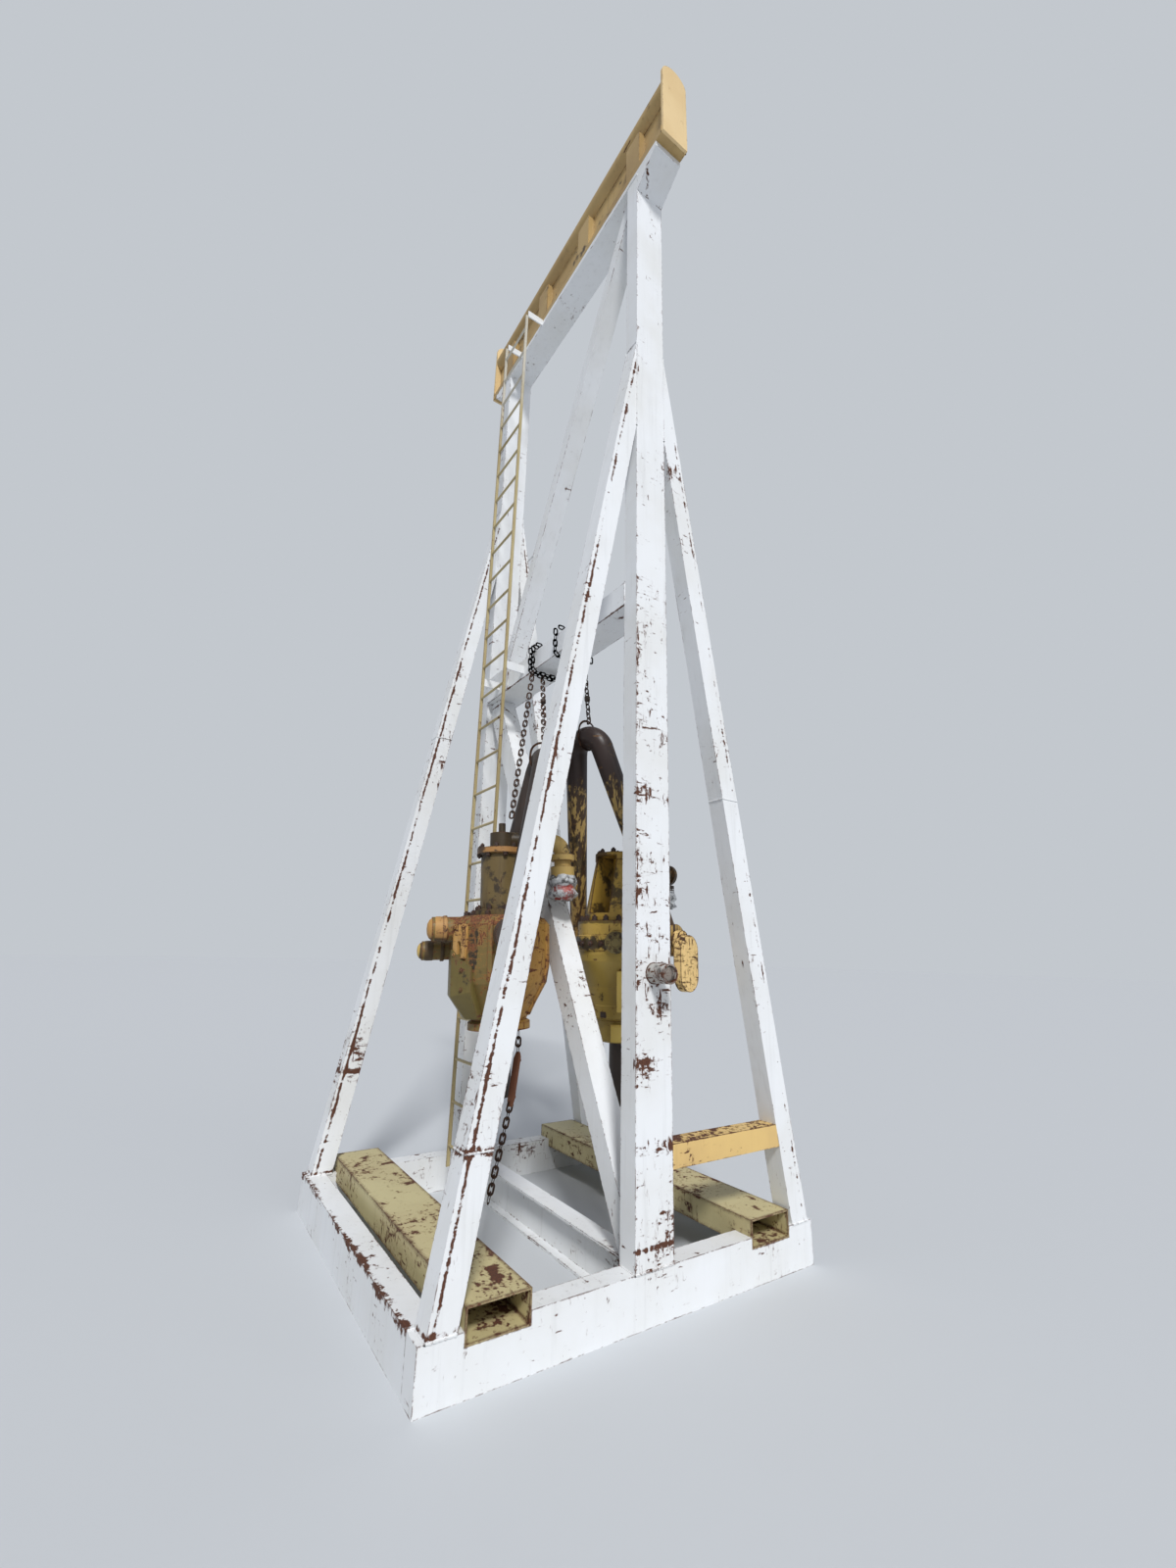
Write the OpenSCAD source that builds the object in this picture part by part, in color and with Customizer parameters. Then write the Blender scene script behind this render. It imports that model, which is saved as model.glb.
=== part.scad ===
// Free-standing oilfield hanging frame: two A-frames of box section carry a
// yellow lifting beam, a middle cross beam, two diagonal braces and a ladder.
// Two rotary swivels hang from the cross beam by chains.
// Millimetres. +X runs along the beam to the near A-frame, +Y to the right
// of it, +Z up. The origin is on the ground at the middle of the base.

/* [A-frames] */
// Distance between the centres of the two posts
post_pitch = 2350; // [2000:10:2900]
// Width of a post across the frame
post_w = 266; // [200:2:320]
// Depth of posts and legs along the frame
sec_d = 134; // [100:2:180]
// Height of the post tops above the ground
post_top = 8295; // [7400:5:9000]
// Half spread of the legs at their feet, to the outer edge
leg_foot = 1249; // [1100:1:1450]
// Width of a leg, measured level
leg_w = 145; // [110:1:180]
// Height at which a leg's outer edge meets the post
leg_top = 6450; // [5600:10:7200]
// Height of the underside of the short tie on the near right leg
tie_z = 695; // [450:5:1400]
// Height of the short tie
tie_h = 128; // [80:2:180]

/* [Base] */
// Height of the base beams
base_h = 250; // [200:5:300]
// Half width of the base, across the frame
base_half = 1284; // [1260:1:1500]
// Width of the side beams of the base
side_w = 143; // [110:1:180]
// Width of the centre beam of the base
centre_w = 134; // [100:2:180]
// Thickness of the flanges of the centre beam
flange_t = 16; // [8:1:30]
// Thickness of the web of the centre beam
web_t = 12; // [8:1:24]
// Distance of a fork pocket's middle from the outer face of the base
pocket_in = 379; // [340:1:500]
// Outside width of a fork pocket
pocket_w = 330; // [260:5:340]
// Outside height of a fork pocket
pocket_h = 150; // [120:2:180]
// How far a fork pocket stands above the base beams
pocket_up = 90; // [40:2:110]
// Wall of a fork pocket
pocket_wall = 9; // [6:1:14]

/* [Cross beam and braces] */
// Height of the underside of the cross beam
cross_z = 4205; // [3800:5:4700]
// Height of the cross beam
cross_h = 178; // [140:2:240]
// Width of the two diagonal braces
brace_w = 160; // [130:2:200]
// Thickness of the upper brace, measured level
upper_t = 118; // [90:2:160]
// Thickness of the lower brace, measured level
lower_t = 150; // [100:2:180]
// Where the upper brace lands on the cross beam, from the far post
upper_land = 107; // [20:1:700]
// Distance of the upper brace's underside below the top of the near post
upper_drop = 74; // [40:1:200]
// Length of the stiffening collar on the far end of the cross beam
collar_l = 430; // [300:5:700]
// Thickness of the plates of that collar
collar_t = 12; // [6:1:20]

/* [Top beam] */
// Half length of the yellow beam between its end plates
beam_half = 1560; // [1400:5:1900]
// Thickness of the white head plate between posts and beam
head_t = 50; // [30:1:80]
// Height of the yellow beam, up to the middle of its round top rail
beam_h = 590; // [480:5:640]
// Thickness of the bottom flange
beam_flange_t = 70; // [30:1:90]
// Distance between the outsides of the two webs
beam_box_w = 134; // [90:2:180]
// Radius of the round top rail
rail_r = 132; // [100:1:140]
// Thickness of the end plates
end_t = 22; // [12:1:35]
// How far the beam's underside shows beyond the white head plate
beam_over = 70; // [20:5:160]
// Height of an end plate at its side edges
end_side_h = 752; // [650:2:850]
// Rise of an end plate's arched top over its side edges
end_rise = 112; // [60:2:130]
// Length of a stiffener along the beam
stiff_l = 185; // [100:5:240]
// Distance of a stiffener's top below the middle of the round rail
stiff_down = 135; // [100:5:200]
// Reach of the sloped haunch beyond a post
haunch_l = 240; // [120:5:240]
// Height of the sloped haunch
haunch_h = 185; // [100:5:260]

/* [Ladder] */
// Distance of the ladder's middle line from the centre line
ladder_y = 317; // [240:1:420]
// Middle of the ladder along the frame
ladder_x = -610; // [-760:5:-300]
// Width between the middles of the ladder rails
ladder_w = 460; // [380:5:500]
// Depth of the flat rails
rail_d = 28; // [20:1:60]
// Thickness of the flat rails
rail_t = 12; // [8:1:20]
// Radius of a rung
rung_r = 11; // [8:0.5:16]
// Spacing of the rungs
rung_pitch = 310; // [280:1:330]
// Height of the lowest rung
rung_first = 395; // [340:5:600]
// Number of rungs
rungs = 26; // [20:1:27]
// Height of the flat brackets that hold the ladder off the beams
bracket_h = 75; // [40:1:110]
// Thickness of those brackets
bracket_t = 12; // [8:1:20]

/* [Peg] */
// Height of the middle of the stub pipe on the near post
peg_z = 1740; // [1200:5:2400]
// Radius of the stub pipe
peg_r = 56; // [40:1:80]
// Wall of the stub pipe
peg_wall = 9; // [5:1:14]
// Reach of the stub pipe
peg_l = 150; // [100:5:260]

/* [Swivels] */
// Height of the bail pins of both swivels
pin_z = 1950; // [1800:5:2100]
// Radius of the bail pins
pin_r = 48; // [36:1:60]
// How far the left pins stand out of their eyes
left_past = 5; // [2:1:15]
// How far the right pins stand out of their eyes
right_past = 25; // [15:1:40]
// Distance from a swivel's axis to the inner face of a bail eye
eye_in = 400; // [385:1:430]
// Thickness of a bail eye
eye_w = 105; // [80:1:130]
// Radius of a bail eye
eye_r = 112; // [95:1:130]
// Radius of a bail's legs at the eyes
bail_bar_r = 66; // [50:1:80]
// Radius of the bar of a bail's bow
bow_bar_r = 86; // [66:1:95]
// Radius of the bow at the top of a bail, to the middle of the bar
bail_bow_r = 140; // [120:1:200]
// Running clearance between a bail pin and its eye
pin_gap = 0.3; // [0.2:0.1:1]
// Radius of a gooseneck pipe
neck_r = 62; // [45:1:75]
// Radius of the bend where a gooseneck turns down
neck_bend = 95; // [80:1:130]
// Radius of the union at the end of a gooseneck
union_r = 88; // [76:1:100]
// Radius of the stem of a swivel
stem_r = 85; // [60:1:110]

/* [Left swivel] */
// Position of the left swivel along the frame
left_x = 131; // [60:1:200]
// Position of the left swivel across the frame
left_y = -463; // [-560:1:-450]
// Turn of the left swivel's bail pins about the vertical
left_turn = -17; // [-30:1:-10]
// Tilt at which the left body hangs on its pins
left_tilt = 2.4; // [0:0.1:4]
// Lean of the left bail
left_lean = 10.5; // [6:0.5:12]
// Length of the left bail from pin to the middle of its bow bar
left_bail_l = 1345; // [1300:5:1450]
// Largest radius of the left body
left_body_r = 335; // [280:1:350]
// Radius of the left body's bottom flange
left_foot_r = 210; // [160:1:260]
// Height of the left body's bottom
left_bottom = 1345; // [1200:5:1500]
// Height of the left body's top
left_top = 2085; // [2040:5:2140]
// Radius of the left bonnet
left_bonnet_r = 145; // [110:1:180]
// Height of the left bonnet's top flange
left_bonnet_top = 2560; // [2450:5:2620]
// Radius of the elbow boss on top of the left bonnet
boss_r = 85; // [76:1:100]
// Reach of the left gooseneck from the swivel's axis
left_reach = 455; // [400:5:560]
// Height of the left gooseneck's level run
left_level = 2626; // [2624:1:2680]
// Height of the underside of the left union
left_union_z = 2215; // [2200:5:2300]

// Radius of the upper bumper behind the left body
bumper_r = 80; // [60:1:110]
// Reach of the upper bumper from the swivel's axis
bumper_reach = 475; // [420:5:560]
// Radius of the lower bumper
low_bumper_r = 64; // [40:1:80]
// Reach of the lower bumper
low_bumper_reach = 525; // [450:5:580]

/* [Right swivel] */
// Position of the right swivel along the frame
right_x = 285; // [250:5:420]
// Position of the right swivel across the frame
right_y = 485; // [480:5:560]
// Turn of the right swivel's bail pins about the vertical
right_turn = 13; // [0:1:30]
// Lean of the right bail
right_lean = -16.2; // [-18:0.1:-10]
// Length of the right bail from pin to the middle of its bow bar
right_bail_l = 1575; // [1450:5:1620]
// Radius of the right body's upper ring
right_ring_r = 346; // [300:1:358]
// Height of the ring's top
right_ring_top = 2080; // [2050:5:2140]
// Height of the right body's bottom
right_bottom = 1235; // [1150:5:1350]
// Radius of the right body's bottom
right_foot_r = 180; // [150:1:220]
// Radius at the foot of the right bonnet
right_bonnet_r = 285; // [220:1:300]
// Height of the right bonnet's top
right_bonnet_top = 2600; // [2580:5:2640]
// Reach of the right gooseneck from the swivel's axis
right_reach = 545; // [440:5:560]
// Height of the right gooseneck's level run
right_level = 2505; // [2460:5:2520]
// Height of the underside of the right union
right_union_z = 2295; // [2200:5:2310]

// Half width of the window through the right bonnet
window_half = 95; // [80:1:110]
// Width of the hanging plate on the outer end of the right bail pin
plate_w = 210; // [150:5:240]
// Height of that plate
plate_h = 380; // [320:5:460]
// Thickness of that plate
plate_t = 60; // [20:1:70]
// Gap between the bail eye and that plate
plate_gap = 50; // [40:5:110]

/* [Chains] */
// Radius of the chain wire
wire_r = 7; // [5:0.5:9]
// Pitch of the chain links
link_pitch = 45; // [42:1:56]
// Inside half width of the joining links
link_in = 10; // [9:0.5:14]
// Play between two neighbouring links
link_gap = 0.6; // [0.4:0.1:0.9]
// Radius of the bar of the sling rings on the bails
sling_r = 9; // [7:0.5:12]
// Straight length of a sling ring above the bail's bar
sling_rise = 42; // [36:1:80]
// Where the left chain goes round the cross beam, along the frame
left_wrap_x = -133; // [-200:1:-60]
// Where the right chain goes round the cross beam, along the frame
right_wrap_x = 238; // [140:1:300]
// Place of the loose tail's end from the left swivel's middle, along the frame
tail_x = -111; // [-140:1:-90]
// Place of the loose tail's end from the left swivel's middle, across the frame
tail_y = 88; // [60:1:120]
// How far the loose tail ends below the left bow's bar
tail_down = 495; // [400:5:600]

/* [Hidden] */
$fn = 48;
seat = 0.3;
yoke_floor = 60;
yoke_roof = 25;
plate_x = eye_in + eye_w + plate_gap;
plate_drop = plate_w / 3;
clear = 8;
post_x = post_pitch / 2;
pocket_y = base_half - pocket_in;
in_x = post_x - sec_d / 2;
out_x = post_x + sec_d / 2;
leg_slope = (leg_foot - post_w / 2) / (leg_top - base_h);
head_z = post_top;
beam_z = head_z + head_t;
rail_z = beam_z + beam_h;
beam_out = beam_half + end_t;
pocket_z = base_h + pocket_up - pocket_h;
cross_top = cross_z + cross_h;
left_pivot = [left_x, left_y, pin_z];
link_r = link_pitch / 2 + wire_r + link_gap / 2;
link_out = link_r + wire_r;
sling_ring = bow_bar_r + seat + 0.4 + sling_r;
wrap_s = (link_out + 0.8 + 2 * seat) / sqrt(2);
wrap_q = link_pitch / 2 / sqrt(2);
wrap_a = post_w / 2 + wrap_s - wrap_q;
wrap_b = cross_h / 2 + wrap_s - wrap_q;
wrap_ny = 2 * round(wrap_a / link_pitch);
wrap_nz = 2 * round(wrap_b / link_pitch);
right_pivot = [right_x, right_y, pin_z];
white = [0.92, 0.93, 0.94];
yellow = [0.93, 0.82, 0.58];
tan_paint = [0.76, 0.7, 0.5];
rusty = [0.7, 0.45, 0.2];
swivel_yellow = [0.78, 0.62, 0.2];
dark = [0.2, 0.15, 0.12];

// A level box from its lowest corner to its highest corner.
module block(lo, hi) translate(lo) cube(hi - lo);

// A profile drawn across the frame (Y, Z) with a thickness along X.
module across(x0, x1) translate([x0, 0, 0]) rotate([90, 0, 90]) linear_extrude(x1 - x0) children();

// A profile drawn along the frame (X, Z) with a width across it.
module along(y0, y1) translate([0, y1, 0]) rotate([90, 0, 0]) linear_extrude(y1 - y0) children();

// Level distance of a leg's outer edge from the centre line at height z.
function leg_out(z) = leg_foot - leg_slope * (z - base_h);
function leg_in(z) = leg_out(z) - leg_w;

// Notched base beam across the frame; the fork pockets sit in the notches.
module base_cross(x0) {
    color(white) difference() {
        block([x0, -base_half, 0], [x0 + sec_d, base_half, base_h]);
        for (side = [-1, 1])
            block([x0 - 1, side * pocket_y - pocket_w / 2, pocket_z],
                [x0 + sec_d + 1, side * pocket_y + pocket_w / 2, base_h + 1]);
    }
}
module base_near_beam() base_cross(in_x);
module base_far_beam() base_cross(-out_x);

module base_side(side) {
    color(white) block([-in_x, side > 0 ? base_half - side_w : -base_half, 0],
        [in_x, side > 0 ? base_half : -base_half + side_w, base_h]);
}
module base_left_beam() base_side(-1);
module base_right_beam() base_side(1);

// Rolled section with flanges top and bottom and one web.
module base_centre_beam() {
    color(white) {
        block([-in_x, -centre_w / 2, 0], [in_x, centre_w / 2, flange_t]);
        block([-in_x, -centre_w / 2, base_h - flange_t], [in_x, centre_w / 2, base_h]);
        block([-in_x, -web_t / 2, flange_t], [in_x, web_t / 2, base_h - flange_t]);
    }
}

// Open rectangular tube for a lift truck's fork.
module fork_pocket(side) {
    color(tan_paint) translate([0, side * pocket_y, 0]) difference() {
        block([-out_x, -pocket_w / 2, pocket_z], [out_x, pocket_w / 2, pocket_z + pocket_h]);
        block([-out_x - 1, -pocket_w / 2 + pocket_wall, pocket_z + pocket_wall],
            [out_x + 1, pocket_w / 2 - pocket_wall, pocket_z + pocket_h - pocket_wall]);
    }
}
module fork_pocket_left() fork_pocket(-1);
module fork_pocket_right() fork_pocket(1);

module post(x) color(white) block([x - sec_d / 2, -post_w / 2, base_h], [x + sec_d / 2, post_w / 2, post_top]);
module near_post() post(post_x);
module far_post() post(-post_x);

// Sloped leg from the base up to the side of its post.
module leg(x, side) {
    top_in = base_h + (leg_foot - leg_w - post_w / 2) / leg_slope;
    color(white) across(x - sec_d / 2, x + sec_d / 2) polygon([[side * leg_foot, base_h],
        [side * post_w / 2, leg_top], [side * post_w / 2, top_in], [side * (leg_foot - leg_w), base_h]]);
}
module near_left_leg() leg(post_x, -1);
module near_right_leg() leg(post_x, 1);
module far_left_leg() leg(-post_x, -1);
module far_right_leg() leg(-post_x, 1);

// Short level tie between the near post and the near right leg.
module tie_beam() {
    color(yellow) across(in_x, out_x) polygon([[post_w / 2, tie_z], [leg_in(tie_z), tie_z],
        [leg_in(tie_z + tie_h), tie_z + tie_h], [post_w / 2, tie_z + tie_h]]);
}

module cross_beam() color(white) block([-in_x, -post_w / 2, cross_z], [in_x, post_w / 2, cross_top]);

// Plates on both sides of the cross beam where the upper brace lands.
module cross_beam_collar() {
    color(white) for (side = [-1, 1])
        along(side > 0 ? post_w / 2 : -post_w / 2 - collar_t, side > 0 ? post_w / 2 + collar_t : -post_w / 2)
            polygon([[-in_x, cross_z], [-in_x + collar_l, cross_z], [-in_x + collar_l, cross_top],
                [-in_x + collar_l * 0.8, cross_top + 60], [-in_x, cross_top + 60]]);
}

// Diagonal from the near post's top down to the far part of the cross beam.
module upper_brace() {
    x0 = -in_x + upper_land;
    slope = (in_x - x0 - upper_t) / (head_z - upper_drop - cross_top);
    color(white) along(-brace_w / 2, brace_w / 2) polygon([[x0, cross_top], [x0 + upper_t, cross_top],
        [in_x, head_z - upper_drop], [in_x, head_z], [x0 + slope * (head_z - cross_top), head_z]]);
}

// Diagonal from the far end of the cross beam down to the near post's foot.
module lower_brace() {
    color(white) along(-brace_w / 2, brace_w / 2) polygon([[-in_x, cross_z], [-in_x + lower_t, cross_z],
        [in_x, base_h + lower_t], [in_x, base_h], [in_x - lower_t / 2, base_h], [-in_x, cross_z - lower_t]]);
}

// White plate on the posts with a sloped haunch outside each post.
module head_plate() {
    color(white) {
        block([-beam_half + beam_over, -post_w / 2, head_z], [beam_half - beam_over, post_w / 2, beam_z]);
        for (side = [-1, 1]) along(-post_w / 2, post_w / 2)
            polygon([[side * (out_x + seat), head_z], [side * (out_x + haunch_l), head_z],
                [side * (out_x + seat), head_z - haunch_h]]);
    }
}

// Yellow beam: bottom flange and two webs.
module top_beam() {
    color(yellow) {
        block([-beam_half, -post_w / 2, beam_z], [beam_half, post_w / 2, beam_z + beam_flange_t]);
        block([-beam_half, -beam_box_w / 2, beam_z + beam_flange_t],
            [beam_half, beam_box_w / 2, rail_z - rail_r * 0.8]);
    }
}

// Round rail along the top that the slings run over.
module top_rail() {
    color(yellow) difference() {
        translate([-beam_half, 0, rail_z]) rotate([0, 90, 0]) cylinder(r = rail_r, h = 2 * beam_half);
        block([-beam_half - 1, -beam_box_w / 2, rail_z - rail_r * 2], [beam_half + 1, beam_box_w / 2, rail_z - rail_r * 0.8]);
    }
}

module beam_stiffeners() {
    color(yellow) for (i = [-1.5:1:1.5]) for (side = [-1, 1])
        translate([i * post_pitch / 3, 0, 0])
            block([-stiff_l / 2, side > 0 ? beam_box_w / 2 : -post_w / 2, beam_z + beam_flange_t],
                [stiff_l / 2, side > 0 ? post_w / 2 : -beam_box_w / 2, rail_z - stiff_down]);
}

module end_plate(x) {
    arc_r = (pow(post_w / 2, 2) + pow(end_rise, 2)) / (2 * end_rise);
    color(yellow) across(x, x + end_t) intersection() {
        translate([-post_w / 2, beam_z]) square([post_w, end_side_h + end_rise]);
        union() {
            translate([-post_w / 2, beam_z]) square([post_w, end_side_h]);
            translate([0, beam_z + end_side_h + end_rise - arc_r]) circle(r = arc_r, $fn = 96);
        }
    }
}
module near_end_plate() end_plate(beam_half);
module far_end_plate() end_plate(-beam_out);

module ladder() {
    ladder_top = rung_first + (rungs - 1) * rung_pitch + rung_pitch / 2;
    color(tan_paint) {
        for (side = [-1, 1])
            translate([ladder_x + side * ladder_w / 2, -ladder_y, 0])
                block([-rail_t / 2, -rail_d / 2, base_h], [rail_t / 2, rail_d / 2, ladder_top]);
        for (i = [0:rungs - 1])
            translate([ladder_x - ladder_w / 2, -ladder_y, rung_first + i * rung_pitch])
                rotate([0, 90, 0]) cylinder(r = rung_r, h = ladder_w, $fn = 16);
    }
}

// Flat bars between the ladder rails and the beams, at the top and half way.
module ladder_brackets() {
    color(white) for (side = [-1, 1]) for (top = [false, true]) {
        x = ladder_x + side * ladder_w / 2;
        on_collar = !top && x < -in_x + collar_l + bracket_t;
        translate([x, 0, top ? head_z : cross_z + 40]) block([-bracket_t / 2, -ladder_y + rail_d / 2, 0],
            [bracket_t / 2, -post_w / 2 - (on_collar ? collar_t : 0), bracket_h]);
    }
}

// Rusty stub pipe on the near face of the near post.
module post_peg() {
    color(white) translate([out_x, 0, peg_z]) rotate([0, 90, 0]) difference() {
        cylinder(r = peg_r, h = peg_l);
        translate([0, 0, 20]) cylinder(r = peg_r - peg_wall, h = peg_l);
    }
}

// Puts children on a swivel: local x is the bail pins, y the gooseneck.
module at_swivel(pivot, turn, tilt = 0) translate(pivot) rotate([tilt, 0, turn]) children();

// Half torus and two splayed tapered legs with an eye at each foot.
module bail(pivot, turn, lean, length, colour) {
    foot_x = eye_in + eye_w / 2;
    rise = length - bail_bow_r;
    lean_in = atan(foot_x / rise) - asin(bail_bow_r / norm([foot_x, rise]));
    leg_l = norm([foot_x, rise]) * cos(asin(bail_bow_r / norm([foot_x, rise])));
    color(colour) at_swivel(pivot, turn) rotate([-lean, 0, 0]) difference() {
        union() {
            translate([0, 0, rise]) rotate([90, 0, 0]) rotate([0, 0, lean_in])
                rotate_extrude(angle = 180 - 2 * lean_in) translate([bail_bow_r, 0]) circle(r = bow_bar_r);
            for (side = [-1, 1]) {
                translate([side * foot_x, 0, 0]) rotate([0, -side * lean_in, 0]) translate([0, 0, eye_r * 0.6])
                    cylinder(r1 = bail_bar_r, r2 = bow_bar_r - 1, h = leg_l - eye_r * 0.6 + 6);
                translate([side * foot_x - eye_w / 2, 0, 0]) rotate([0, 90, 0]) cylinder(r = eye_r, h = eye_w);
            }
        }
        for (side = [-1, 1]) translate([side * foot_x, 0, 0]) rotate([0, 90, 0])
            translate([0, 0, -eye_w]) cylinder(r = pin_r + pin_gap, h = 2 * eye_w);
    }
}
module left_bail() bail(left_pivot, left_turn, left_lean, left_bail_l, dark);
module right_bail() bail(right_pivot, right_turn, right_lean, right_bail_l, swivel_yellow);

// Bail pins that stand out of both sides of a body.
module pins(past) {
    reach = eye_in + eye_w + past;
    translate([-reach, 0, 0]) rotate([0, 90, 0]) cylinder(r = pin_r, h = 2 * reach);
}

module left_body() {
    low = left_bottom - pin_z;
    top = left_top - pin_z;
    color(rusty) at_swivel(left_pivot, left_turn, left_tilt) {
        rotate_extrude($fn = 64) polygon([[0, low], [left_foot_r, low], [left_foot_r, low + 45],
            [left_foot_r - 25, low + 60], [left_body_r - 20, low + 300], [left_body_r, low + 400],
            [left_body_r, top - 60], [left_body_r - 60, top], [0, top]]);
        pins(left_past);
        translate([60, 0, 50]) rotate([90, 0, 0]) cylinder(r = bumper_r, h = bumper_reach);
        translate([-110, 0, -90]) rotate([90, 0, 0]) cylinder(r = low_bumper_r, h = low_bumper_reach);
        block([-130, -left_body_r, -380], [130, -left_body_r * 0.6, -60]);
    }
}

module left_bonnet() {
    low = left_top - pin_z;
    top = left_bonnet_top - pin_z;
    color(rusty) at_swivel(left_pivot, left_turn, left_tilt) rotate_extrude($fn = 64)
        polygon([[0, low], [left_bonnet_r + 40, low], [left_bonnet_r + 40, low + 40], [left_bonnet_r, low + 50],
            [left_bonnet_r, top - 50], [left_bonnet_r + 30, top - 40], [left_bonnet_r + 30, top], [0, top]]);
}

// Level pipe from start out to the bend, down through a flange to the union.
module gooseneck(start, reach, level, bottom) {
    flange = level - neck_bend;
    translate([0, start, level]) rotate([-90, 0, 0]) cylinder(r = neck_r, h = reach - neck_bend - start);
    translate([0, reach - neck_bend, flange]) rotate([90, 0, 90])
        rotate_extrude(angle = 90) translate([neck_bend, 0]) circle(r = neck_r);
    translate([0, reach, bottom + 10]) cylinder(r = neck_r, h = flange - bottom - 10);
    translate([0, reach, flange - 45]) cylinder(r = union_r, h = 45);
    translate([0, reach, bottom]) cylinder(r = union_r, h = flange - 90 - bottom);
}
module left_gooseneck() {
    low = left_bonnet_top - pin_z;
    level = left_level - pin_z;
    color(rusty) at_swivel(left_pivot, left_turn, left_tilt) {
        translate([0, 0, low]) cylinder(r = boss_r, h = level + neck_r - 12 - low);
        translate([0, 0, level]) cylinder(r = boss_r * 0.3, h = neck_r + 62);
        gooseneck(0, left_reach, level, left_union_z - pin_z);
    }
}

module left_stem() {
    color(rusty) at_swivel(left_pivot, left_turn, left_tilt) translate([0, 0, left_bottom - pin_z - 420]) cylinder(r = stem_r, h = 420);
}

module right_body() {
    low = right_bottom - pin_z;
    top = right_ring_top - pin_z;
    color(swivel_yellow) at_swivel(right_pivot, right_turn) {
        rotate_extrude($fn = 64) polygon([[0, low], [right_foot_r - 25, low], [right_foot_r, low + 15],
            [right_foot_r + 12, low + 150], [right_foot_r + 55, low + 165], [right_foot_r + 90, low + 380],
            [right_ring_r - 15, low + 560], [right_ring_r - 15, top - 215], [right_ring_r, top - 205],
            [right_ring_r, top - 110], [right_ring_r - 12, top - 100], [right_ring_r - 12, top], [0, top]]);
        pins(right_past);
        translate([plate_x - plate_gap + clear, 0, 0]) rotate([0, 90, 0]) cylinder(r = pin_r * 1.4, h = plate_gap);
        translate([plate_x, 0, -plate_drop]) rotate([90, 0, 90]) linear_extrude(plate_t) union() {
            for (z = [0, plate_w - plate_h]) translate([0, z]) circle(r = plate_w / 2, $fn = 48);
            translate([-plate_w / 2, plate_w - plate_h]) square([plate_w, plate_h - plate_w]);
        }
    }
}

module right_bonnet() {
    low = right_ring_top - pin_z;
    top = right_bonnet_top - pin_z;
    color(swivel_yellow) at_swivel(right_pivot, right_turn) difference() {
        rotate_extrude($fn = 64) polygon([[0, low], [right_bonnet_r, low], [right_bonnet_r, low + 30], [right_bonnet_r * 0.72, top - 60],
            [right_bonnet_r * 0.74, top - 55], [right_bonnet_r * 0.74, top], [0, top]]);
        block([-window_half, -right_bonnet_r - 1, low + yoke_floor],
            [window_half, right_bonnet_r + 1, top - yoke_roof]);
    }
}

// Riser in the yoke's window and the level pipe that leaves through it to a tee with a blind end.
module right_gooseneck() {
    low = right_ring_top + yoke_floor - pin_z;
    level = right_level - pin_z;
    bottom = right_union_z - pin_z;
    flange = level - neck_bend;
    color(swivel_yellow) at_swivel(right_pivot, right_turn) {
        translate([0, 0, low]) cylinder(r = neck_r + 14, h = 90);
        translate([0, 0, low + 80]) cylinder(r = neck_r + 5, h = level + neck_r + 5 - low - 80);
        translate([0, 0, level]) rotate([-90, 0, 0]) cylinder(r = neck_r, h = right_reach + 50);
        translate([0, right_reach + 45, level]) rotate([-90, 0, 0]) cylinder(r = union_r - 3, h = 35);
        translate([0, right_reach, bottom + 10]) cylinder(r = neck_r - 3, h = level - bottom - 10);
        translate([0, right_reach, flange - 45]) cylinder(r = union_r, h = 45);
        translate([0, right_reach, bottom]) cylinder(r = union_r, h = flange - 90 - bottom);
    }
}

module right_stem() {
    color(rusty) at_swivel(right_pivot, right_turn) translate([0, 0, right_bottom - pin_z - 420]) cylinder(r = stem_r, h = 420);
}

// One round chain link along z, its middle at the origin.
module link(pitch, extra = 0) rotate([90, 0, 0]) rotate_extrude($fn = 32)
    translate([pitch / 2 + wire_r + link_gap / 2 + extra, 0]) circle(r = wire_r, $fn = 16);

// Long link with a barrel that joins two lengths of chain.
module joining_link(pitch) {
    half = pitch / 2 + link_gap / 2 - link_in;
    for (end = [0, 180]) rotate([0, end, 0]) translate([0, 0, half])
        rotate([90, 0, 0]) rotate_extrude(angle = 180, $fn = 24) translate([link_in + wire_r, 0]) circle(r = wire_r);
    for (side = [-1, 1]) translate([side * (link_in + wire_r), 0, -half]) cylinder(r = wire_r, h = 2 * half, $fn = 24);
    cylinder(r = link_in + 2 * wire_r + 2, h = pitch - link_pitch + 6, center = true);
}

// Links on the straight line between two points across the frame (Y, Z).
module wrap_run(from, to, count, first, extra = 0) {
    step = (to - from) / count;
    for (i = [0:count - 1])
        translate([0, from.x + (i + 0.5) * step.x, from.y + (i + 0.5) * step.y])
            rotate([atan2(-step.x, step.y), 0, 0]) rotate([0, 0, 90 * (1 - (first + i) % 2)])
                link(norm(step), extra);
}

// Closed ring of links round the cross beam.
module wrap(x) {
    a = wrap_a;
    b = wrap_b;
    c = a + 2 * wrap_q;
    d = b + 2 * wrap_q;
    translate([x, 0, cross_z + cross_h / 2]) {
        wrap_run([-a, d], [a, d], wrap_ny, 0);
        wrap_run([a, d], [c, b], 1, wrap_ny, 0.8);
        wrap_run([c, b], [c, -b], wrap_nz, 1);
        wrap_run([c, -b], [a, -d], 1, 1, 0.8);
        wrap_run([a, -d], [-a, -d], wrap_ny, 0);
        wrap_run([-a, -d], [-c, -b], 1, 0, 0.8);
        wrap_run([-c, -b], [-c, b], wrap_nz, 1);
        wrap_run([-c, b], [-a, d], 1, 1, 0.8);
    }
}

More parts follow.
